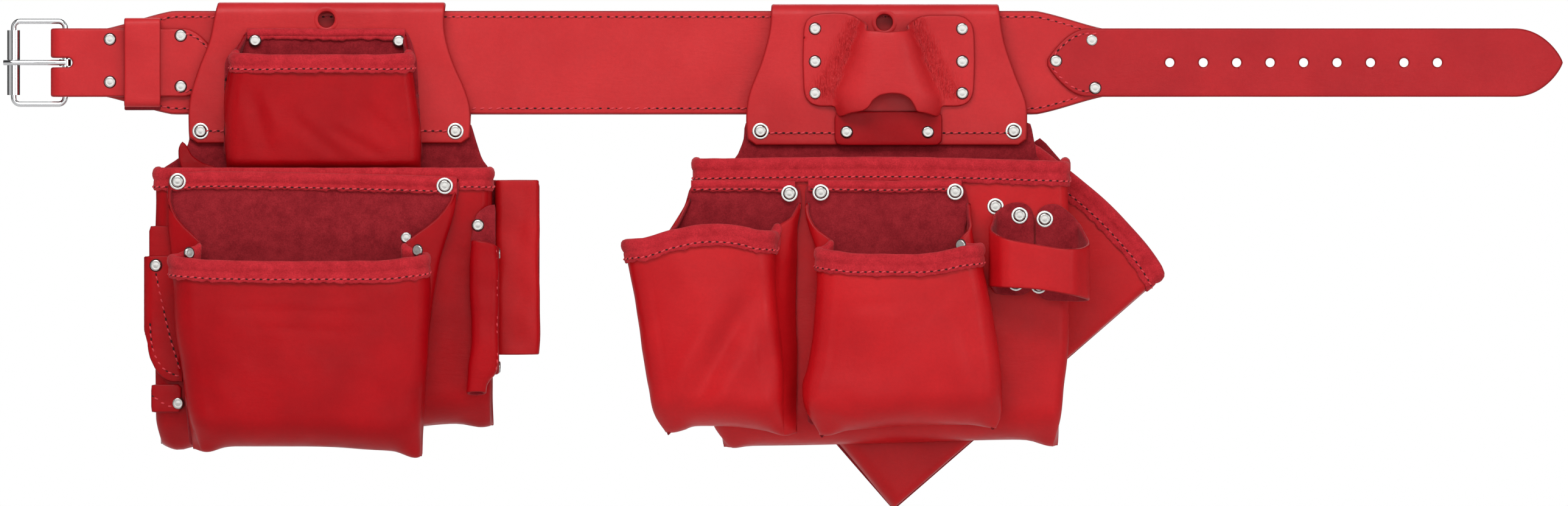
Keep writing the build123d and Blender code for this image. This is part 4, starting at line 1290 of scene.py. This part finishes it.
def make_left_bag():
    body = "left_bag"
    make_tunnel(
        "left",
        [
            (45, -286.7), (32.4, -289.3), (16, -292.7), (-3.4, -300.2), (-25.7, -306.9),
            (-37.7, -308.1), (-60, -307.7),
        ],
        [
            (45, -117.7), (29.5, -118.8), (11.6, -115.9), (-3.4, -110.7), (-18.3, -104),
            (-31.7, -99.8), (-60, -99.5),
        ],
        (-205.9, 32.0), body, 21,
    )
    box = span("left_back_panel")
    outline = rounded([
        (-306, -44), (-308, -60), (-314, -70), (box.left + 1, -81), (box.left + 3, -262),
        (-318, -280), (-230, -278), (-135, -266), (-90, -266), (box.right - 1.5, -240),
        (box.right - 1, -80), (-90.5, -72), (-95, -58), (-99, -44),
    ], 4.0)
    back_sheet("left", outline, body, 31)

    lip = [
        (-312, -58), (-315, -64), (-314.5, -73), (-312, -82), (-282, -82), (-287, -77.5),
        (-297, -74.5), (-305, -69), (-309, -61),
    ]
    plain_piece(
        "left_back_lip",
        rounded(lip, 2.0, 2.5),
        box.front + 3.6,
        2.6,
        BAG,
        body,
        pitch=3.0,
        seed=33,
        lift=lambda points: 7.0 * np.clip((-288 - points[:, 0]) / 26, 0, 1) ** 2,
    )
    rear_stitches("left_rear_side_stitches", [(-327, -90), (-326.5, -262)], box.back, body)
    bottom = [(-318, -274.5), (-230, -273), (-135, -261), (-92, -261)]
    rear_stitches("left_rear_bottom_stitches", bottom, box.back, body)
    seam = [(-302, -53.5), (-105, -53.5)]
    rear_stitches("left_rear_seam_stitches", seam, box.back - REAR_FOLD, body)

    bound_panel(
        "top_pocket_back_sheet",
        rounded([
            (-266, 23), (-269, 16), (-281, 2), (-282, -70), (-134.5, -70), (-139, 2), (-143, 16),
            (-146, 23),
        ], 3.0),
        [(-264.5, 23.2), (-235, 23.4), (-205, 22.8), (-175, 23.2), (-147.5, 23.0)],
        "top_pocket_back", body, 6.5, 0, 41, roll=0.6,
    )
    rim = rim_height("top_pocket")
    pocket = Pouch(
        span("top_pocket_body"),
        left=[(-84, -279.5), (-67, -280.2), (-37, -280.2), (4, -275.5)],
        right=[(-84, -136), (-76, -135.2), (-58, -135.2), (-28, -138.2), (4, -142.2)],
        rear_left=[(-84, -280), (0, -277), (10, -271), (22, -266)],
        rear_right=[(-84, -136), (0, -142), (10, -145), (22, -147)],
        rim=[
            (0, rim + 1.5), (0.06, rim + 0.5), (0.3, rim), (0.7, rim), (0.94, rim + 0.5),
            (1, rim + 1.5),
        ],
        side_top=[(0, rim + 17), (0.3, rim + 13), (0.7, rim + 5), (1, rim + 1.5)],
        bottom=[(0, -84), (0.5, -84), (1, -84)],
        corner=11.0,
        belly=3.5,
        under=14.0,
        seed=43,
        ripple=0.55,
        tuck=((0, 0), (0.5, 1.5), (1, 0)),
        dents=[
            ((-262, -20), (-248, -66), 6, 1.1), ((-205, -48), (-160, -72), 4, 0.7),
            ((-232, -40), (-190, -74), 5, 0.8), ((-180, -30), (-150, -60), 5, 0.6),
        ],
    )
    pocket.finish("top_pocket", body, 3, depth=12.5, stitch=9.8, seed=44)
    make_rivets("top_pocket_rivet_caps", "top_pocket_rivets", body, shift=lambda x, z: ROLL_LIFT)

    main = span("left_pouch_body")
    rim = rim_height("left_pouch")
    pouch = Pouch(
        main,
        left=[(-284, -327), (-262, -331.5), (-200, -331.4), (rim, -331.4)],
        right=[(-284, -87), (-256, -84), (-220, -82.8), (-150, -83.5), (rim, -83.4)],
        rear_left=[(-284, -329), (rim, -331.8)],
        rear_right=[(-284, -82.0), (-256, -82.2), (rim, -83.4)],
        rim=[(0, rim), (0.5, rim), (1, rim)], side_top=[(0, rim + 3), (0.5, rim + 1), (1, rim)],
        bottom=[(0, -281), (0.1, -284), (0.5, -280), (0.85, -268), (1, -267.5)],
        corner=9.0, belly=1.2, under=26.0, seed=51, ripple=0.45,
        ears=[(-318, -281, (1.5, -4.0)), (-92, -268, (1.0, -3.0))],
    )
    pouch.finish("left_pouch", body, 6, seed=52)

    panel_box = span("front_pouch_back")
    bound_panel(
        "front_pouch_back_sheet",
        rounded([
            (-320.9, -83), (-323, -99.4), (-316, -120), (-318, -150), (-306, panel_box.bottom + 2),
            (-134, panel_box.bottom + 2), (-130, -150), (-118, -118), (-107.5, -99.4),
            (-106.7, -86),
        ], 4.0),
        [
            (-319.5, -84.0), (-290, -82.6), (-240, -83.2), (-190, -84.4), (-150, -85.4),
            (-108.5, -86.8),
        ],
        "front_pouch_back", body, 11.0, 9.2, 61, roll=0.9,
    )
    pouch = Pouch(
        span("front_pouch_body"),
        left=[
            (-286, -297), (-265, -304.5), (-231, -310.6), (-197.6, -316.2), (-163.7, -318),
            (-146, -320),
        ],
        right=[
            (-286, -137), (-265, -134.6), (-231, -130.2), (-197.6, -128.4), (-172, -127.5),
            (-146, -129.5),
        ],
        rear_left=[(-286, -304), (-190, -316), (-150, -318), (-110, -321), (-84, -321)],
        rear_right=[(-286, -135), (-190, -127), (-150, -122), (-110, -110), (-84, -107.5)],
        rim=[
            (0, -144), (0.05, -146.5), (0.25, -148.5), (0.75, -148.6), (0.95, -146.0), (1, -142.5),
        ],
        side_top=[(0, -86), (0.15, -97), (0.35, -115), (0.6, -134), (0.8, -139), (1, -144)],
        bottom=[(0, -284), (0.3, -284), (0.6, -284.5), (0.9, -287), (1, -286)],
        corner=17.0, belly=4.5, under=24.0, seed=63, ripple=0.6, rows=60,
        tuck=((0, 0), (0.15, -1), (0.35, 5), (0.6, 21), (0.8, 14), (1, 0)),
        ears=[(-294, -285, (1.0, -4.5)), (-140, -287, (1.5, -6.5))],
        dents=[
            ((-280, -182), (-170, -186), 3, 0.35), ((-262, -196), (-186, -200), 3, 0.3),
            ((-300, -240), (-272, -276), 7, 0.9), ((-165, -235), (-150, -275), 6, 0.7),
        ],
    )
    pouch.finish("front_pouch", body, 5, seed=64)

    def on_roll(x, z):
        return ROLL_LIFT if z > -100 else 0.0

    make_rivets("left_pouch_rivet_caps", "left_pouch_rivets", body, shift=on_roll)
    make_washers("left_pouch_washer_rings", "left_pouch_washers", body, shift=on_roll)
    inner = panel_box.front
    corner_rivets("left_corner_rivet_caps", [
        (-305.5, inner + 26, -141.2, 35), (-145.9, inner, -129.9, 0),
        (-137.2, inner + 26, -139.2, -35), (-331, main.front + 3.4, -150.2, 0),
    ], body)
    make_sheath(body)
    make_tube_holder(body, main)
    make_side_loop(body, main)


def rectangle(left, right, low, high):
    return [(left, low), (right, low), (right, high), (left, high)]


def make_sheath(body):
    """Flattened upright tube of leather, open at both ends, on a riveted tab."""
    box = span("flat_sheath")
    outline = rounded(rectangle(-106, box.right, box.bottom, box.top), 4.0)
    tab = panel("sheath_back_sheet", outline, box.back + 3.0, 2.8, [SUEDE, BAG], seed=71)
    settle(tab, body, None)
    left, back = -80.5, box.back + 3.2
    start = ((left + box.right) / 2, back)
    corners = [
        start, (left, back), (left, box.front), (box.right, box.front), (box.right, back), start,
    ]
    loop = evenly(route_line(corners, [4.5] * 4), 1.8)[:-1]
    height = box.top - box.bottom
    heights = np.arange(box.bottom, box.top + 0.1, height / max(8, int(height / 5)))
    points = np.array([(x, -f, z) for z in heights for x, f in loop])
    points[:, 0] += 0.3 * np.sin((points[:, 2] - box.bottom) / 21.0)
    faces = facing_front(points, grid_faces(len(heights), len(loop), closed=True))
    points += normals_of(points, faces) * (0.5 * waves(points, 26.0, 72))[:, None]
    obj = skin("sheath_tube", points, faces, 2.4, [BAG_LIGHT, SUEDE])
    settle(obj, body, "flat_sheath")
    make_rivets("sheath_rivet_caps", "sheath_rivets", body)


def make_side_loop(body, main):
    """Tool loop bent round the pouch's left side, with a band below it."""
    loop = span("side_tool_loop")
    sheet = Bent(route_line(
        [(-311, main.front + 3.0), (main.left - 4.5, main.front + 3.2),
         (loop.left + 2, main.front - 3), (loop.left + 2, loop.back)],
        [3.0, 3.0],
    ))
    marks = sheet.marks(3.0)
    low, high = -236.0, -143.5
    curl = through([(0, 0), (11, 0.5), (19, 7), (25, 19), (28, 30), (60, 34)])
    upper = np.stack([marks, high + 0.5 * np.sin(marks / 9)], 1)
    lower = np.stack([marks, low + curl(marks)], 1)
    flat, faces = pattern(np.concatenate([upper, lower[::-1]]), pitch=3.6)
    points = sheet.points(flat[:, 0], flat[:, 1])
    faces = facing_front(points, faces, np.argmin(flat[:, 0]))
    points[:, 1] -= 0.4 * waves(points, 30.0, 75)
    obj = skin("side_loop_leather", points, faces, 2.2, [BAG, SUEDE])
    settle(obj, body, "side_tool_loop")
    upper = rounded([(-336, -150), (-336, -121), (-318, -121), (-318, -150)], 3.0)
    plain_piece("side_loop_upper", upper, main.front + 1.4, 2.0, BAG, body, seed=76)
    band = span("side_tool_band")
    outline = rounded(rectangle(-334.5, band.right, band.bottom, band.top), 2.5)
    plain_piece("side_band_leather", outline, band.front, 2.8, BAG, body, "side_tool_band", seed=77)
    seam = [(-333, -247), (-326, -252), (-318, -255.5)]
    flat_stitches("side_band_stitches", seam, band.front, body, pitch=5.0, length=3.6)
    seams = {
        "side_loop_stitches": [(-330.8, -157), (-327, -175), (-320.5, -203), (-313, -228)],
        "side_loop_edge_stitches": [
            (-335.2, -194), (-334.0, -208), (-330.5, -219), (-324, -227.5), (-313, -232.8),
        ],
    }
    for name, seam in seams.items():
        flat_stitches(name, through_line(seam), main.front + 3.3, body, pitch=5.4, length=3.8)


def through_line(points):
    """Smooth line through points."""
    points = np.array(points, float)
    marks = np.arange(len(points))
    at = np.linspace(0, len(points) - 1, 40)
    return np.stack([through(list(zip(marks, points[:, k])))(at) for k in (0, 1)], 1)


def side_sheet(name, outline, x, facing, thick, body, seed):
    """Flat sheet facing +x or -x, from its outline in (forward, z)."""
    flat, faces = pattern(outline, pitch=max(3.0, 1.2 * thick))
    points = np.stack([np.full(len(flat), float(x)), -flat[:, 0], flat[:, 1]], 1)
    points[:, 0] += facing * 0.2 * waves(points, 30.0, seed)
    faces = faces if facing < 0 else faces[:, ::-1]
    obj = skin(name, points, faces, thick, [BAG, SUEDE])
    return settle(obj, body, None)


def make_tube_holder(body, main):
    """Tube sewn along its right side, with its seam folded back and riveted to the pouch."""
    box = span("tube_holder")
    back = main.front + 3.2
    tab = rounded([
        (-80, -104.5), (-88, -107), (-94.5, -112.5), (-96.5, -122), (-98.5, -133), (-98.5, -150),
        (-80, -150),
    ], 3.0)
    plain_piece(
        "tube_holder_tab", tab, main.front + 3.0, 2.8, SUEDE, body, slot="panel_suede", seed=73,
    )
    left = through([(-245, -101.3), (-228, -100.2), (-204, -97.6), (-163, -99.3), (-134, -97.8)])
    right = through([
        (-245, -87.0), (-237, -85.5), (-229, -79.0), (-204, -77.6), (-163, -77.4), (-134, -78.2),
    ])
    deep = through([(-245, 10.5), (-215, 14.0), (-170, 13.0), (-134, 14.6)])
    squareness, sides = 0.8, 44
    heights = np.linspace(-245, -134, 34)
    points = []
    for z in heights:
        middle, half = (left(z) + right(z)) / 2, (right(z) - left(z)) / 2
        for angle in np.arange(sides) * 2 * math.pi / sides:
            c, s = math.cos(angle), math.sin(angle)
            x = middle + half * np.sign(c) * abs(c) ** squareness
            f = back + deep(z) / 2 * (1 + np.sign(s) * abs(s) ** squareness)
            points.append((x, -f, z + 1.2 * s - 2.0 * step((z + 150) / 16) * c))
    points = np.array(points)
    faces = [face[::-1] for face in grid_faces(len(heights), sides, closed=True)]
    points += normals_of(points, faces) * (0.35 * waves(points, 30.0, 74))[:, None]
    obj = skin("tube_holder_leather", points, faces, 2.4, [BAG, SUEDE])
    settle(obj, body, "tube_holder")
    seam = rounded(rectangle(37.5, 62, -231, -136), 3.5, 3.0)
    side_sheet("tube_seam_flange", seam, box.right, 1, 4.6, body, 78)
    z = np.linspace(-229, -137, 60)
    line = np.stack([right(z) - 1.7, -(back + 0.72 * deep(z)), z], 1)
    stitches("tube_holder_stitches", line, unit(np.array([0.75, -0.66, 0.0])), body, pitch=5.4)


# ---- right bag ---------------------------------------------------------------------------------
def make_right_bag():
    body = "right_bag"
    make_tunnel(
        "right",
        [(44, 123.8), (24.6, 122.6), (1.8, 116.8), (-24.4, 107), (-42.4, 105.1), (-61.5, 106.2)],
        [
            (44, 292.4), (38.4, 293), (17.6, 295.9), (-7.8, 304.2), (-28.7, 312.3), (-37.7, 313.4),
            (-61.5, 313.2),
        ],
        (207.6, 29.8), body, 22,
    )
    box = span("right_back_panel")
    outline = rounded([
        (104, -44), (103.4, -57), (97.5, -71.5), (box.left + 2, -74), (86, -262), (95, -280),
        (230, -279), (328, -277), (336, -262), (box.right - 1, -74), (321.3, -73), (316, -44),
    ], 4.0)
    back_sheet("right", outline, body, 32)

    rear_stitches("right_rear_left_stitches", [(72.5, -84), (91.5, -262)], box.back, body)
    rear_stitches("right_rear_bottom_stitches", [(100, -274.5), (326, -272)], box.back, body)
    rear_stitches("right_rear_right_stitches", [(337.5, -84), (331.5, -262)], box.back, body)
    seam = [(111, -54.5), (308, -54.5)]
    rear_stitches("right_rear_seam_stitches", seam, box.back - REAR_FOLD, body)

    main = span("right_pouch_body")
    rim = rim_height("right_pouch")
    pouch = Pouch(
        main,
        left=[(-284, 96), (-270, 82), (-200, 74), (rim, 67)],
        right=[(-284, 330), (-264, 337.6), (-236, 341), (-203, 343.6), (-120, 343.8), (rim, 342.5)],
        rear_left=[(-284, 88), (rim, 66.6)], rear_right=[(-284, 336), (rim, 343.2)],
        rim=[(0, rim - 0.5), (0.5, rim + 1), (1, rim - 2.5)],
        side_top=[(0, rim + 3), (0.5, rim + 1), (1, rim - 0.5)],
        bottom=[(0, -282), (0.1, -284), (0.5, -282), (0.9, -279.5), (1, -281)],
        corner=9.0, belly=1.2, under=26.0, seed=53, ripple=0.45,
        ears=[(93, -282, (0.5, -3.5)), (329, -281, (0.5, -4.0))],
    )
    pouch.finish("right_pouch", body, 6, BAG_LIGHT, depth=16.5, stitch=12.8, seed=54)
    make_pocket_a(body)
    make_pocket_b(body)

    def on_leather(x, z):
        if z > -100:
            return ROLL_LIFT
        return -3.0 if z < -150 else 0.9 if x < 295 else 0.3

    make_rivets("right_pouch_rivet_caps", "right_pouch_rivets", body, shift=on_leather)
    make_washers("right_pouch_washer_rings", "right_pouch_washers", body, shift=on_leather)
    corner = (263.5, span("pocket_b_back").front + 26, -135.4, -35)
    corner_rivets("right_corner_rivet_caps", [corner], body)
    make_formed_holder(body)
    make_hammer_loop(body, main)
    make_holster(body)


def make_pocket_a(body):
    bound_panel(
        "pocket_a_back_sheet",
        rounded([
            (64, -91), (60, -106), (50, -122), (30, -150), (42, -268), (141, -268), (143, -125),
            (146.5, -106), (145, -92), (138, -88),
        ], 4.0),
        [(64.5, -89.4), (90, -89.0), (115, -89.0), (141.5, -90.0)],
        "pocket_a_back", body, 6.5, 4.9, 81, roll=0.6,
    )
    tab = rounded(rectangle(36, 57, -104, -91), 2.5, 2.0)
    side_sheet("pocket_a_side_tab", tab, 65.6, -1, 2.6, body, 86)
    pouch = Pouch(
        span("pocket_a_body"),
        left=[(-271, 46), (-262, 39), (-240, 33.2), (-193, 25.6), (-145, 17), (-128, 13.5)],
        right=[(-271, 132), (-250, 132.6), (-217, 131.2), (-179, 127), (-142, 126), (-124, 127)],
        rear_left=[
            (-271, 48), (-240, 40), (-190, 34), (-145, 38), (-121, 50.5), (-105, 60.5), (-90, 64),
        ],
        rear_right=[
            (-271, 143), (-200, 142.6), (-150, 143.5), (-121, 144.5), (-104, 146.3), (-90, 144),
        ],
        rim=[
            (0, -133.5), (0.08, -131.5), (0.3, -125.6), (0.6, -121.2), (0.85, -123.2), (0.95, -126),
            (1, -127),
        ],
        side_top=[(0, -100), (0.12, -107), (0.3, -121), (0.6, -133), (0.85, -135), (1, -133.5)],
        right_top=[(0, -104), (0.1, -105.5), (0.5, -114), (0.8, -121.5), (1, -127)],
        bottom=[(0, -271), (0.2, -269), (0.6, -269.5), (0.9, -271.5), (1, -272)],
        corner=15.0, belly=5.0, under=24.0, seed=83, ripple=0.6,
        tuck=((0, 0), (0.12, 5), (0.3, 12), (0.6, 10), (0.85, 5), (1, 0)),
        right_tuck=((0, 0), (0.3, -3), (0.5, -4), (0.8, 1.5), (1, 0)),
        tuck_reach=0.5,
        ears=[(50, -271, (0.5, -3.5)), (133, -271, (1.0, -4.5))],
        dents=[
            ((60, -262), (112, -168), 10, 4.2), ((116, -200), (128, -258), 5, 1.0),
            ((44, -238), (60, -262), 7, 1.0),
        ],
    )
    pouch.finish("pocket_a", body, 3, BAG_LIGHT, seed=84)


def make_pocket_b(body):
    bound_panel(
        "pocket_b_back_sheet",
        rounded([
            (149, -91), (149, -109.4), (155.8, -123), (160, -140), (150.5, -268), (289, -268),
            (278.5, -141.3), (266, -126), (271.2, -112), (267, -91),
        ], 4.0),
        [(151, -89.0), (180, -89.4), (210, -89.8), (240, -89.2), (264.5, -88.8)],
        "pocket_b_back", body, 6.5, 4.9, 91, roll=0.6,
    )
    pouch = Pouch(
        span("pocket_b_body"),
        left=[
            (-271, 159), (-258, 150), (-240, 147), (-225, 151), (-187, 155.4), (-155, 157.6),
            (-141, 157.5),
        ],
        right=[
            (-271, 286), (-258, 293.3), (-241, 294.0), (-203, 290), (-170, 284.2), (-151, 280),
            (-141, 279.5),
        ],
        rear_left=[
            (-271, 160), (-240, 153), (-187, 157), (-141, 158), (-123, 152), (-109, 149.2),
            (-90, 150),
        ],
        rear_right=[
            (-271, 286), (-240, 291), (-170, 282), (-141, 275), (-121, 271), (-106, 271),
            (-90, 266.5),
        ],
        rim=[
            (0, -138.5), (0.06, -141.5), (0.3, -143.3), (0.7, -143.0), (0.93, -138.5), (1, -135.5),
        ],
        side_top=[(0, -104), (0.2, -110), (0.45, -122), (0.65, -131.5), (0.85, -136), (1, -138.5)],
        bottom=[(0, -272.5), (0.2, -271.5), (0.6, -268.5), (0.9, -268), (1, -268.5)],
        corner=16.0, belly=5.5, under=26.0, seed=93, ripple=0.6,
        tuck=((0, 0), (0.2, -1.5), (0.45, 1.5), (0.65, 10), (0.85, 6), (1, 0)),
        right_tuck=((0, 0), (0.2, 1.5), (0.45, 3.6), (0.65, 13), (0.85, 9), (1, 0)),
        ears=[(164, -272, (0.5, -4.0)), (288, -268, (1.5, -2.5))],
        dents=[
            ((176, -182), (250, -176), 4, 0.5), ((170, -246), (196, -262), 6, 0.9),
            ((262, -190), (276, -240), 6, 0.7),
        ],
    )
    pouch.finish("pocket_b", body, 4, BAG_LIGHT, seed=94)


def make_formed_holder(body):
    """Sheet riveted flat at its sides, with a funnel formed in its middle."""
    base = span("formed_holder").back + 3.0
    left_at = through([
        (-42, 174.0), (-38, 173.3), (-31, 171.3), (-25, 170.8), (-16.5, 173.2), (-5, 177.6),
        (4, 181.0), (18.6, 184.9), (24, 187.6), (34.7, 189.5),
    ])
    right_at = through([
        (-42, 247.4), (-38.9, 248.1), (-32, 249.6), (-25.3, 249.8), (-18.5, 246.1), (-8.7, 241.2),
        (3, 236.6), (16.6, 232.5), (23.5, 229.4), (34.7, 228),
    ])
    rise_at = through([(-42, 12.5), (-30, 16.5), (0, 17.5), (24, 16), (36, 13)])
    outline = rounded([
        (170.0, 37.0), (159.5, 36.2), (153.5, 34.6), (149.2, 30.5), (147.6, 24.5), (147.1, 12.0),
        (146.9, 1.0), (147.2, -10.0), (147.8, -21.0), (149.4, -27.0), (153.5, -31.0),
        (159.0, -32.6), (170.8, -32.6), (171.4, -38.0), (174.0, -41.0), (182.6, -38), (192, -36.4),
        (196.2, -33.6), (199.1, -28.3), (204.9, -24.4), (212.7, -23.2), (220.5, -23.9),
        (226.4, -27.3), (229.8, -32.7), (231.2, -37), (238.1, -38), (247.4, -41), (249.8, -37),
        (249.8, -32.6), (262.5, -32.6), (268, -31), (272.1, -27), (273.8, -21), (274.3, -10),
        (274.6, 1), (274.4, 12), (273.9, 23), (272.3, 29), (268, 33.5), (262, 35.2), (240, 35.2),
        (233, 34), (228, 30.6), (225.4, 27.4), (227, 24.2), (210, 22.6), (192.6, 24.2),
        (194.3, 27.6), (190.3, 31.3), (185.4, 34.7), (180, 36.4),
    ], 2.0, 2.2)

    def across(points):
        """How far a point is from the funnel's middle, 1 at its sides."""
        low, high = left_at(points[:, 2]), right_at(points[:, 2])
        return (points[:, 0] - (low + high) / 2) / ((high - low) / 2)

    def lift(points):
        dome = np.clip(1 - np.abs(across(points)) ** 3.4, 0, 1) ** 0.65
        return rise_at(points[:, 2]) * dome

    obj = panel(
        "formed_holder_leather", outline, base, 2.8, [CREASED, SUEDE], pitch=3.6, wave=0.15,
        seed=101, lift=lift,
    )
    points = np.array([v.co for v in obj.data.vertices]) / MM
    off = np.abs(across(points))
    beside = step((off - 0.96) / 0.1) * step((1.75 - off) / 0.5)
    creased = beside * step((points[:, 2] + 31) / 8) * step((36 - points[:, 2]) / 6)
    obj.data.attributes.new("crease", "FLOAT", "POINT").data.foreach_set("value", creased)
    settle(obj, body, "formed_holder")
    tab = rounded([(170.6, -36), (170.6, -61.6), (250.4, -61.6), (250.4, -36)], 6.0)
    # Painted shade: the tab takes the darker bag leather for the shadow that the funnel casts on
    # it.
    plain_piece("formed_holder_tab", tab, base - 0.3, 2.6, BAG, body, seed=102)
    make_rivets("formed_holder_rivet_caps", "formed_holder_rivets", body)


def make_hammer_loop(body, main):
    """One strip whose two rounded ends meet on the pouch; it hangs lower in front."""
    back = main.front + 0.7
    route = Bent(route_line(
        [
            (318.2, back), (289, back), (283.5, 75), (295, 94.5), (347, 95.5), (361, 76),
            (351, back), (319.0, back),
        ],
        [9.0, 12.0, 12.0, 12.0, 14.0, 8.0],
    ))
    tops = [
        (0, -104), (0.07, -103.7), (0.15, -111), (0.23, -122), (0.34, -129.5), (0.475, -134.7),
        (0.6, -138), (0.73, -133.5), (0.83, -119), (0.93, -105), (1, -105.5),
    ]
    lows = [
        (0, -172), (0.07, -172.5), (0.15, -171), (0.23, -166), (0.34, -166.5), (0.475, -168),
        (0.6, -172), (0.73, -176), (0.83, -177), (0.93, -176.4), (1, -176),
    ]
    marks = np.linspace(0, route.length, 90)
    pull = corner_pull(np.minimum(marks, route.length - marks), 11.0)
    upper, lower = (through(edge)(marks / route.length) for edge in (tops, lows))
    outline = np.concatenate([
        np.stack([marks, lower + pull], 1), np.stack([marks, upper - pull], 1)[::-1],
    ])
    flat, faces = pattern(evenly([*outline, outline[0]], 2.4)[:-1], pitch=3.2)
    points = route.points(flat[:, 0], flat[:, 1])
    faces = facing_front(points, faces)
    points[:, 1] -= 0.4 * waves(points, 45.0, 113)
    obj = skin("hammer_loop_leather", points, faces, 2.6, [BAG_LIGHT, SUEDE])
    settle(obj, body, ("hammer_loop_band", "hammer_loop_back"))


HOLSTER_TURN = math.radians(49.0)
HOLSTER_MOUTH = (368.5, -106.7)


def turned(points):
    """From the holster's own upright place to its angled one."""
    points = np.array(points, float)
    x, z = points[:, 0].copy(), points[:, 2].copy()
    points[:, 0] = HOLSTER_MOUTH[0] + x * math.cos(HOLSTER_TURN) + z * math.sin(HOLSTER_TURN)
    points[:, 2] = HOLSTER_MOUTH[1] - x * math.sin(HOLSTER_TURN) + z * math.cos(HOLSTER_TURN)
    return points


def make_holster(body):
    half, length = 69.0, 264.0
    shell, plate = span("holster_front"), span("holster_back")
    shell.front -= 0.3
    pouch = Pouch(
        shell,
        left=[(-length, -half + 1.5), (-100, -half + 0.6), (0, -half + 1)],
        right=[(-length, half - 1.5), (-100, half - 0.6), (0, half - 1)],
        rear_left=[(-length, -half + 1), (0, -half)],
        rear_right=[(-length, half - 1), (0, half)],
        rim=[(0, -9), (0.24, -2.5), (0.52, 3.8), (0.78, 5.1), (0.93, 3.0), (1, 0.5)],
        side_top=[(0, -8), (1, -9)], right_top=[(0, 0), (1, 0.5)],
        bottom=[(0, -length), (0.5, -length + 1.5), (1, -length)],
        corner=5.0, belly=0.0, under=10.0, seed=121, ripple=0.25, front_count=40, rows=60,
    )
    rim = pouch.rim(4)
    pouch.points = turned(pouch.points.reshape(-1, 3))
    pouch.build("holster_leather", body, "holster_front", BAG_LIGHT)
    origin = turned(np.zeros((1, 3)))
    top, outward, up = (turned(part) for part in rim)
    binding(
        "holster_trim", top, outward - origin, up - origin, body, "holster_binding",
        seed=122, depth=16.5, stitch=12.2,
    )
    outline = rounded([(-half, 0), (-half, -length), (half, -length), (half, 0)], 4.0, 6.0)
    flat, faces = pattern(outline, pitch=7.0)
    points = turned(upright(flat, plate.front))
    points[:, 1] += 0.2 * waves(points, 80.0, 123)
    thick = plate.front - plate.back
    obj = skin("holster_back_leather", points, faces, thick, [SUEDE, BAG])
    settle(obj, body, "holster_back")
    make_rivets("holster_rivet_caps", "holster_rivets", body)


make_camera()
make_studio()
make_pad()
make_buckle_strap()
make_keeper()
make_tail()
carry_metal()
make_left_bag()
make_right_bag()
